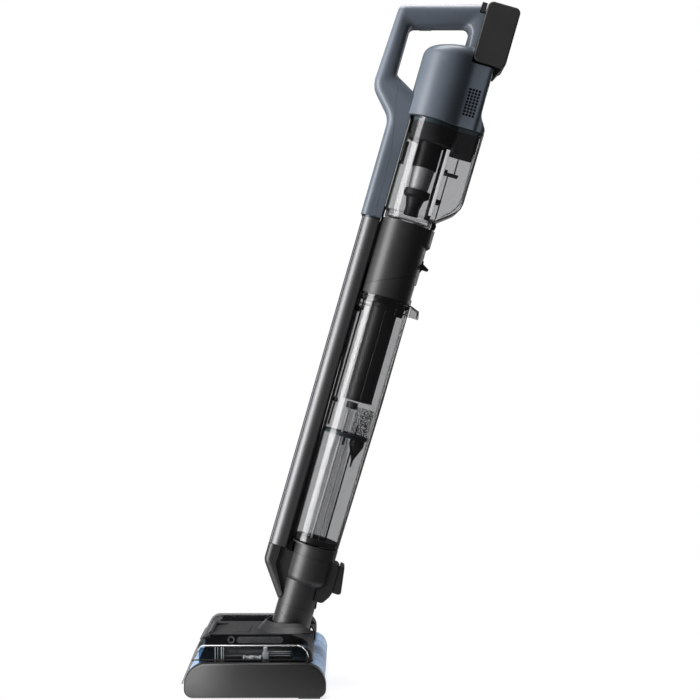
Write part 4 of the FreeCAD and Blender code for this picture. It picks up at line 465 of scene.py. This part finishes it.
def microfibre(name, centre):
    """Pale blue pile with the darker seam of a wound strip, about the axis of its roller."""
    f = Finish(name)
    x, y, z = f.axes(f.add("ShaderNodeMapping", None, {"Vector": f.place, "Location": tuple(-c for c in centre)}))
    wound = (z.does("ARCTAN2", x) / FULL_TURN + y * WINDS) % 1.0
    seam = 1 - f.steps((wound - 0.5).does("ABSOLUTE"), 0.02, 0.07)
    tufts, damp = f.noise(900, 4, 0.7), f.noise(60, 3)
    shade = f.blend(f.steps(tufts, 0.3, 0.75), tone(122, 160, 206), tone(186, 208, 240))
    shade = f.blend(f.steps(damp, 0.45, 0.75) * 0.35, shade, tone(108, 146, 192))
    shade = f.blend(seam * 0.8, shade, tone(62, 88, 120))
    return f.done(f.gloss({"Base Color": shade, "Roughness": tufts * 0.2 + 0.75,
                           "Normal": f.bump(tufts - seam * 0.8, 0.0012, 0.8),
                           "Sheen Weight": 0.5, "Sheen Roughness": 0.5}))


TUFT_DEPTH, SEAM_DEPTH, END_DEPTH, END_WIDTH = 0.0011, 0.0007, 0.0016, 0.003  # metres


def pile_sleeve(name, node):
    """Puts a sleeve of pile in the place of a plain one, worn in by noise, at the seam and at its ends."""
    low, high = (Vector(c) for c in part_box(node))
    centre, radius, length = (low + high) / 2, (high.z - low.z) / 2, high.y - low.y
    mesh = bmesh.new()
    bmesh.ops.create_cone(mesh, cap_ends=True, segments=112, radius1=radius, radius2=radius, depth=length)
    walls = [e for e in mesh.edges if abs(e.verts[0].co.z - e.verts[1].co.z) > 0.5 * length]
    bmesh.ops.subdivide_edges(mesh, edges=walls, cuts=90, use_grid_fill=True)
    ends = [face for face in mesh.faces if len(face.verts) > 8]
    bmesh.ops.inset_individual(mesh, faces=ends, thickness=radius * 0.28, depth=0)
    bmesh.ops.rotate(mesh, verts=mesh.verts, matrix=ON_ITS_SIDE)
    for v in mesh.verts:
        out = Vector((v.co.x, 0, v.co.z))
        if out.length < radius * 0.8:
            continue
        wound = (math.atan2(v.co.z, v.co.x) / FULL_TURN + v.co.y * WINDS) % 1.0
        seam = max(0.0, 1 - abs(wound - 0.5) / 0.05)
        rough = 0.5 + 0.5 * noise.noise(v.co * 700) + 0.25 * noise.noise(v.co * 1900)
        end = max(0.0, 1 - (length / 2 - abs(v.co.y)) / END_WIDTH)
        depth = TUFT_DEPTH * min(1.2, max(0.05, rough)) + SEAM_DEPTH * seam + END_DEPTH * end * end
        v.co -= out.normalized() * depth
    bmesh.ops.translate(mesh, verts=mesh.verts, vec=centre)
    sleeve = piece(name, mesh, microfibre(name + "_fibre", centre), node.replace("_sleeve", ""))
    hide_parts(node)
    print(name, "faces:", len(sleeve.data.polygons))


pile_sleeve("front_pile", "front_roller_sleeve")
pile_sleeve("rear_pile", "rear_roller_sleeve")

# %% [markdown]
# ## Inside the head
# The cover of the head is clear so that dirt is seen, and what shows under it is a black inner tray: a hood over
# each roller, a ledge on the near side that carries the water fittings, and on the far side the closed box of the
# roller drives. Rounded blocks are right here, because the real parts are plain glossy mouldings in the shade.

# %% Inner hoods and ledges
inner_gloss = moulded("black_gloss_inner", tone(11, 11, 12), 0.34, grain=FINE_GRAIN)
tray = piece("inner_tray", blocks(
    block_between,
    ((-204, -118, 50), (-98.5, -58, 61), 3),  # ledge under the water fittings
    ((-204, -53, 40), (-98.5, -50.5, 76.5), 0.6),  # upright wall beside it
    ((-204, 50, 50), (-98.5, 124, 76.5), 3),  # box of the roller drives
    ((-223, 30, 58), (-203, 124, 76.5), 3),  # the front of that box
), inner_gloss, "head")
hoods = piece("roller_hoods", blocks(
    block_between,
    ((-96, -124, 52.4), (-73, -52, 59), 3),  # over the rear roller, near side
    ((-96, 52, 52.4), (-73, 126, 73), 3),  # over the rear roller, far side
    ((-237, -124, 53), (-206, 124, 56.5), 1.6),  # over the front roller
), inner_gloss, "head")
print("tray and hoods:", len(tray.data.polygons) + len(hoods.data.polygons), "faces")

# %% [markdown]
# ## Water fittings at the near side
# Through the side of the cover show the fittings that feed the rollers: upright ribs of the spray rail, a little
# spool, and the pale valve block behind it. They are small, but they tell the eye that the head is hollow. Three
# thin pale strips level with the ledge are painted highlights along its edges.

# %% Water fittings
def spin_outline(mesh, outline, segments, closed=False):
    """Spins an outline of (height, radius) pairs in millimetres about the z axis, and gives its vertices."""
    earlier = set(mesh.verts)
    spots = [mesh.verts.new((radius / 1000, 0, height / 1000)) for height, radius in outline]
    ends = spots[1:] + (spots[:1] if closed else [])
    edges = [mesh.edges.new(pair) for pair in zip(spots, ends)]
    bmesh.ops.spin(mesh, geom=spots + edges, cent=(0, 0, 0), axis=(0, 0, 1), dvec=(0, 0, 0), angle=FULL_TURN,
                   steps=segments, use_merge=True, use_duplicate=False)
    return [v for v in mesh.verts if v not in earlier]


upright_ribs = [((at - wide / 2, -128.8, 52), (at + wide / 2, -128, 76), 0.3)
                for at, wide in ((-211, 1.2), (-207, 0.8), (-201.5, 1.6), (-198.5, 0.8))]
# Painted highlights: thin pale strips that stand for the light along the edges of the ledge.
ledge_highlights = [((-129, -121, z), (-94, -120.2, z + 0.7), 0.2) for z in (60.8, 64.2, 67)]
ribs_and_highlights = piece("spray_ribs_and_highlights", blocks(block_between, *upright_ribs, *ledge_highlights), milky, "head")
valve = piece("valve_block", blocks(
    block_between,
    ((-139.5, -127, 52), (-130, -119, 67), 1),
    ((-138, -126, 67), (-132, -120, 75), 1),
), milky, "head")
mesh = bmesh.new()
turned = spin_outline(mesh, [(-14, 0), (-14, 3.4), (-11.5, 3.4), (-10.5, 2.2), (-4, 2.2), (-3, 3.2), (3, 3.2),
                             (4, 2.2), (10.5, 2.2), (11.5, 3.4), (14, 3.4), (14, 0)], segments=32)
along_x = Vector((0, 0, 1)).rotation_difference(Vector((1, 0, 0))).to_matrix()
bmesh.ops.rotate(mesh, verts=turned, cent=(0, 0, 0), matrix=along_x)
bmesh.ops.translate(mesh, verts=turned, vec=in_room(-155, -125.2, 59))
spool = piece("feed_spool", mesh, milky, "head")
print("fittings:", [o.name for o in (ribs_and_highlights, valve, spool)])

# %% Gasket over the near end cap
gasket = piece("near_gasket", blocks(block_between, ((-246, -130.6, 55.6), (-62, -128.9, 57.6), 0.5)),
               seal_black, "cassette")
print("gasket:", round(gasket.dimensions.x, 3), "m long")

# %% [markdown]
# The side window is darker than the rest of the cover, because the rollers under it lie in shade. A dark
# see-through sheet just inside the window paints that shade over the pale rollers, and the water fittings stand in
# front of that sheet.

# %% Sheet of painted shade inside the window
# Painted shade: a dark, blue-tinted see-through sheet that darkens what lies behind the side window.
tint = Finish("painted_shade_sheet")
film = tint.gloss({"Base Color": (0.004, 0.004, 0.005, 1), "Roughness": tint.noise(40, 4) * 0.1 + 0.3})
window_shade = tint.done(tint.layers(0.08, tint.see_through((0.40, 0.54, 0.62, 1)), film), blended=True)
sheet = piece("window_shade_sheet", blocks(
    block_between,
    ((-236, -127.9, 51.6), (-205, -127.5, 75), 0.1),
    ((-97, -127.9, 51.6), (-74, -127.5, 75), 0.1),
), window_shade, "head")
print("window sheet:", len(sheet.data.polygons), "faces")

# %% [markdown]
# ## Painted shade in the vents
# The vents of the motor housing read as black holes. A short disc of near black fills each hole flush with the
# surface and paints the shade in its depth, and a thin dark sheet behind them all is painted shade too.

# %% Dark sheet and shade discs in the vents
VENT_ALONG, VENT_PITCH, FIRST_COLUMN = 893, 5.1, 40  # millimetres in the leaning frame, like the next three
SHEET_ACROSS, SHEET_SIDE, DISC_SIDE = 47.6, 29.9, 32.62
SHEET_SIZE, DISC_RADIUS, DISC_DEPTH = (0.024, 0.0006, 0.052), 0.0021, 0.0009  # metres
# A thin dark sheet behind the vent holes, painted shade.
mesh = bmesh.new()
for side in (NEAR, FAR):
    rounded_block(mesh, SHEET_SIZE, leaned(SHEET_ACROSS, side * SHEET_SIDE, VENT_ALONG), 0.0002, turn=TILT)
dark_sheet = piece("vent_dark_sheet", mesh, seal_black, "hand_unit")
# Discs of near black in the vent holes paint the shade in their depth.
mesh = bmesh.new()
for side in (NEAR, FAR):
    for column in range(4):
        for row in range(-4, 5):
            disc = bmesh.ops.create_cone(mesh, cap_ends=True, segments=14, radius1=DISC_RADIUS,
                                         radius2=DISC_RADIUS, depth=DISC_DEPTH)["verts"]
            spot = leaned(FIRST_COLUMN + column * VENT_PITCH, side * DISC_SIDE, VENT_ALONG + row * VENT_PITCH)
            bmesh.ops.rotate(mesh, verts=disc, cent=(0, 0, 0), matrix=ON_ITS_SIDE)
            bmesh.ops.translate(mesh, verts=disc, vec=spot)
shade_discs = piece("vent_shade_discs", mesh, vent_shadow, "hand_unit", smooth=False)
print("vents:", [o.name for o in (dark_sheet, shade_discs)])

# %% [markdown]
# ## Fittings inside the tank
# Under the lid the clear wall shows a soft seal that keeps the dirty water in, and the air duct has a dark channel
# down its near side where the float slides. Blocks and rings stand in the leaning frame: they are built upright,
# turned once by the lean and moved to their place.

# %% Rings in the leaning frame
def leaning_ring(mesh, across, low, high, outer, inner, segments=72):
    """A flat-sided ring about a line along the column, in millimetres."""
    height = high - low
    made = spin_outline(mesh, [(0, inner), (0, outer), (height, outer), (height, inner)], segments, closed=True)
    bmesh.ops.rotate(mesh, verts=made, cent=(0, 0, 0), matrix=TILT)
    bmesh.ops.translate(mesh, verts=made, vec=leaned(across, 0, low))


print("the lean is", round(math.degrees(LEAN)), "degrees")

# %% Seals, channel and clips in the tank
mesh = bmesh.new()
leaning_ring(mesh, across=2, low=548.5, high=555.5, outer=39.7, inner=37)
leaning_ring(mesh, across=2, low=541, high=542.6, outer=39.7, inner=38.4)
leaning_ring(mesh, across=4, low=388, high=390.5, outer=24.2, inner=20.5)
seals = piece("tank_seals", mesh, inner_gloss, "tank", smooth=False)
channel = piece("float_channel", blocks(
    leaning_block,
    ((7, -23.6, 389), (20.5, -13, 555), 0.8),  # the channel
    ((22, -31, 534), (36, -21, 553), 1.2),  # a block under the lid
    ((-39.2, -12, 527), (-30, 12, 536), 1),  # upper clip, towards the column
    ((-36, -9.5, 379.5), (-26, 9.5, 382), 0.6),  # lower clip
), inner_gloss, "tank")
mesh = blocks(leaning_block, ((20.6, -19, 389), (27, -8, 555), 0.8))
leaning_ring(mesh, across=-2, low=374, high=384.5, outer=9, inner=6.6, segments=40)
edge_strip = piece("duct_edge", mesh, smoke_grey, "tank", smooth=False)

# The backing stands behind the tank's riser: a foot in two steps, and a plate cut to the outline of the rest.
mesh = blocks(leaning_block, ((-43, -12, 126), (-31.4, 12, 146), 0.8), ((-43, -12, 140), (-37.4, 12, 160), 0.8))
outline = ((-42, 126), (-30.6, 126), (-30.6, 145.8), (-35, 146.2), (-35, 150), (-39.4, 395), (-39.4, 676),
           (-42, 676))
corners = [mesh.verts.new(leaned(across, 12.8, along)) for across, along in outline]
plate = bmesh.ops.extrude_face_region(mesh, geom=[mesh.faces.new(corners)])["geom"]
bmesh.ops.translate(mesh, verts=[v for v in plate if isinstance(v, bmesh.types.BMVert)], vec=(0, 0.001, 0))
leaning_block(mesh, (-34, 4, 126), (-27, 9, 152), 0.4)
rest_foot = piece("rest_backing", mesh, inner_gloss, "lower_body", smooth=False)
print("tank fittings:", [o.name for o in (seals, channel, edge_strip, rest_foot)])

# %% [markdown]
# ## Fittings inside the dust cup
# Two small flaps in the belly keep settled dust from being drawn back up and thin walls guide the air. The edge
# where the round front meets the flat belly catches the light as one line, which a pale strip paints as a
# highlight.

# %% Flaps and walls
# A pale finish for strips and rods that paint highlights along edges, and a fainter one that paints the glint down
# the riser.
painted_highlight = moulded("painted_highlight", tone(243, 244, 246), 0.35)
painted_riser_glint = moulded("painted_riser_glint", tone(168, 169, 171), 0.35)
flaps = piece("dust_flaps", blocks(
    leaning_block,
    ((29, -20, 776.6), (60, 14, 778.4), 0.6),  # upper flap
    ((29, -8, 778), (42, 10, 784), 1.2),  # its thick root
    ((30, -20, 727), (45, 14, 733), 1.2),  # lower flap
    ((-36.5, -22, 776), (-30, 18, 809), 1),  # pad towards the column
    ((-41.2, -15, 684), (-37, 15, 700), 0.8),  # foot of the wall below
    ((-41.2, -12, 700), (-39.4, 12, 850), 0.4),  # wall that guides the air
    ((-6, -9, 698.5), (14, 9, 706), 1.5),  # foot in the middle of the floor
), inner_gloss, "hand_unit")
# A pale strip along the edge of the belly, a painted highlight.
light_edge = piece("cup_light_edge", blocks(leaning_block, ((30.4, -31.8, 703), (36.2, -30.6, 812), 0.5)),
                   painted_highlight, "hand_unit")
guides = piece("air_guides", blocks(
    leaning_block,
    ((43.6, -24, 703), (44.4, 20, 776), 0.3),
    ((53, -24, 778), (53.7, 20, 806), 0.3),
), smoke_grey, "hand_unit")
print("cup fittings:", [o.name for o in (flaps, light_edge, guides)])

# %% [markdown]
# ## Lines of light and shade
# A clear wall seen along its length gathers light or shade into one line, which a thin see-through surface can't
# do. Thin rods that follow the walls stand in for those lines: pale rods are painted highlights and dark rods
# painted shade. A grey rod also draws the fine seam down the side of the handle.

# %% Lines
def thin_rod(name, stops, radius, material, body, place=leaned):
    """A thin rod through stops, in millimetres, in the leaning frame unless another place is given."""
    mesh = bmesh.new()
    spots = [place(*stop) for stop in stops]
    for one, two in zip(spots, spots[1:]):
        reach = two - one
        made = bmesh.ops.create_cone(mesh, cap_ends=True, segments=8, radius1=radius / 1000, radius2=radius / 1000,
                                     depth=reach.length + radius / 1000)["verts"]
        turn = Vector((0, 0, 1)).rotation_difference(reach).to_matrix()
        bmesh.ops.rotate(mesh, verts=made, cent=(0, 0, 0), matrix=turn)
        bmesh.ops.translate(mesh, verts=made, vec=(one + two) / 2)
    return piece(name, mesh, material, body)


seam_grey = moulded("seam_shadow", tone(58, 65, 75), 0.5)
WINDOW_Y, SEAM_Y = -131.2, 18.35
window = [(-236, 72), (-233, 77.5), (-229, 78.8), (-86, 78.8), (-79, 76.5), (-72, 69), (-69, 61)]
seam = [(-73.3, 899), (-69.4, 867), (-54, 788.6), (-52.5, 722.5), (-50.4, 660)]
# Pale rods are painted highlights and dark rods painted shade; the seam rods draw the handle's real seam.
rods = [
    ("cup_back_line", [(74.3, -26, 816), (74.6, -26, 745), (73, -26, 734), (69, -26, 725), (63, -26, 717),
                       (50, -26, 706)], 1.0, painted_highlight, "hand_unit"),
    ("riser_light_edge", [(-6.2, -19.6, 160), (-5.6, -19.6, 372)], 1.7, painted_highlight, "tank"),
    ("riser_light_line", [(5.4, -19.2, 160), (5.4, -19.2, 340)], 0.7, painted_riser_glint, "tank"),
    ("riser_dark_edge", [(16, -8, 156), (15.6, -8, 352)], 1.3, inner_gloss, "tank"),
    ("cup_dark_line", [(80, 0, 850), (80, 0, 739), (78, 0, 730), (73, 0, 722), (48, 0, 702)], 0.9, inner_gloss,
     "hand_unit"),
    ("tank_dark_line", [(38.9, 0, 153), (42.9, 0, 395), (42.9, 0, 556)], 1.35, inner_gloss, "tank"),
    ("hook_dark_line", [(43.4, 0, 558), (58.4, 0, 552.2), (59.4, 0, 542)], 0.9, inner_gloss, "tank"),
    ("window_light_line", [(x, WINDOW_Y, z) for x, z in window], 0.4, painted_highlight, "head", in_room),
    ("handle_seam_near", [(across, -SEAM_Y, along) for across, along in seam], 0.35, seam_grey, "hand_unit"),
    ("handle_seam_far", [(across, SEAM_Y, along) for across, along in seam], 0.35, seam_grey, "hand_unit"),
]
lines = [thin_rod(*rod) for rod in rods]
print("lines:", [o.name for o in lines])

# %% [markdown]
# ## Room, light and camera
# A product of dark satin plastic is lit by reflections. A tall soft box at the left front draws the bright band
# down every round part, a narrow one behind at the right draws the thin edge, and the space behind the camera
# stays dim so the sides facing it stay dark. The floor is a pale disc that fades into the white room.

# %% Floor
FOOT_X, FADE_FROM, FADE_TO = -0.15, 0.17, 0.42  # where the head stands, and how far round it the floor fades
floor = Finish("pale_floor")
x, y, _ = floor.axes()
x = x - FOOT_X
away = (x * x + y * y).does("SQRT")
lit = floor.gloss({"Base Color": (0.34, 0.34, 0.34, 1), "Roughness": 0.55, "Emission Color": (1, 1, 1, 1),
                   "Emission Strength": 0.7})
faded = floor.steps(away, FADE_FROM, FADE_TO)
pale_floor = floor.done(floor.layers(faded, lit, floor.see_through()), blended=True)
mesh = bmesh.new()
bmesh.ops.create_circle(mesh, cap_ends=True, segments=96, radius=1.1)
bmesh.ops.translate(mesh, verts=mesh.verts, vec=(0, 0, -0.0004))
data = bpy.data.meshes.new("floor")
mesh.to_mesh(data)
mesh.free()
data.materials.append(pale_floor)
ground = bpy.data.objects.new("floor", data)
bpy.context.scene.collection.objects.link(ground)
print("floor:", round(ground.dimensions.x, 2), "m across")


# %% Lights
def soft_box(name, width, height, where, at, power):
    """A rectangular light of a size in metres, turned to face a point, with its power in watts."""
    light = bpy.data.lights.new(name, "AREA")
    light.shape, light.size, light.size_y, light.energy = "RECTANGLE", width, height, power
    lamp = bpy.data.objects.new(name, light)
    lamp.location = where
    lamp.rotation_euler = (Vector(at) - Vector(where)).to_track_quat("-Z", "Y").to_euler()
    bpy.context.scene.collection.objects.link(lamp)


soft_box("key_box", 1.1, 2.4, (-1.85, -0.8, 0.75), (0, 0, 0.55), 100)
soft_box("rim_box", 0.25, 2.2, (1.15, 1.15, 0.75), (0, 0, 0.55), 7)
soft_box("top_box", 1.5, 1.5, (-0.1, 0.2, 2.3), (0, 0, 0.4), 62)
soft_box("low_card", 1.2, 0.5, (-0.75, 1.9, -0.02), (-0.2, 0, 0.02), 2.4)

# %% [markdown]
# The camera sees a white room, and the machine sees a dim one: a light path tells the two kinds of ray apart.

# %% World
world = bpy.data.worlds.new("studio")
bpy.context.scene.world = world
world.use_nodes = True
nodes, links = world.node_tree.nodes, world.node_tree.links
nodes.clear()
ray, mix = nodes.new("ShaderNodeLightPath"), nodes.new("ShaderNodeMixShader")
links.new(ray.outputs["Is Camera Ray"], mix.inputs[0])
dim, white = ((0.95, 0.97, 1, 1), 0.11), ((1, 1, 1, 1), 1.0)
for place, (colour, strength) in enumerate((dim, white), start=1):
    backdrop = nodes.new("ShaderNodeBackground")
    backdrop.inputs["Color"].default_value = colour
    backdrop.inputs["Strength"].default_value = strength
    links.new(backdrop.outputs[0], mix.inputs[place])
links.new(mix.outputs[0], nodes.new("ShaderNodeOutputWorld").inputs["Surface"])
bpy.context.scene.view_settings.view_transform = "Standard"
print("world:", world.name, "with", len(nodes), "nodes")

# %% Camera
camera = bpy.data.objects.new("camera", bpy.data.cameras.new("camera"))
camera.data.lens, camera.data.sensor_width = 72, 36
camera.location, camera.rotation_euler = (-0.00674, -2.250, 0.526), (math.radians(90), 0, 0)
bpy.context.scene.collection.objects.link(camera)
bpy.context.scene.camera = camera
print("camera:", tuple(round(v, 3) for v in camera.location))
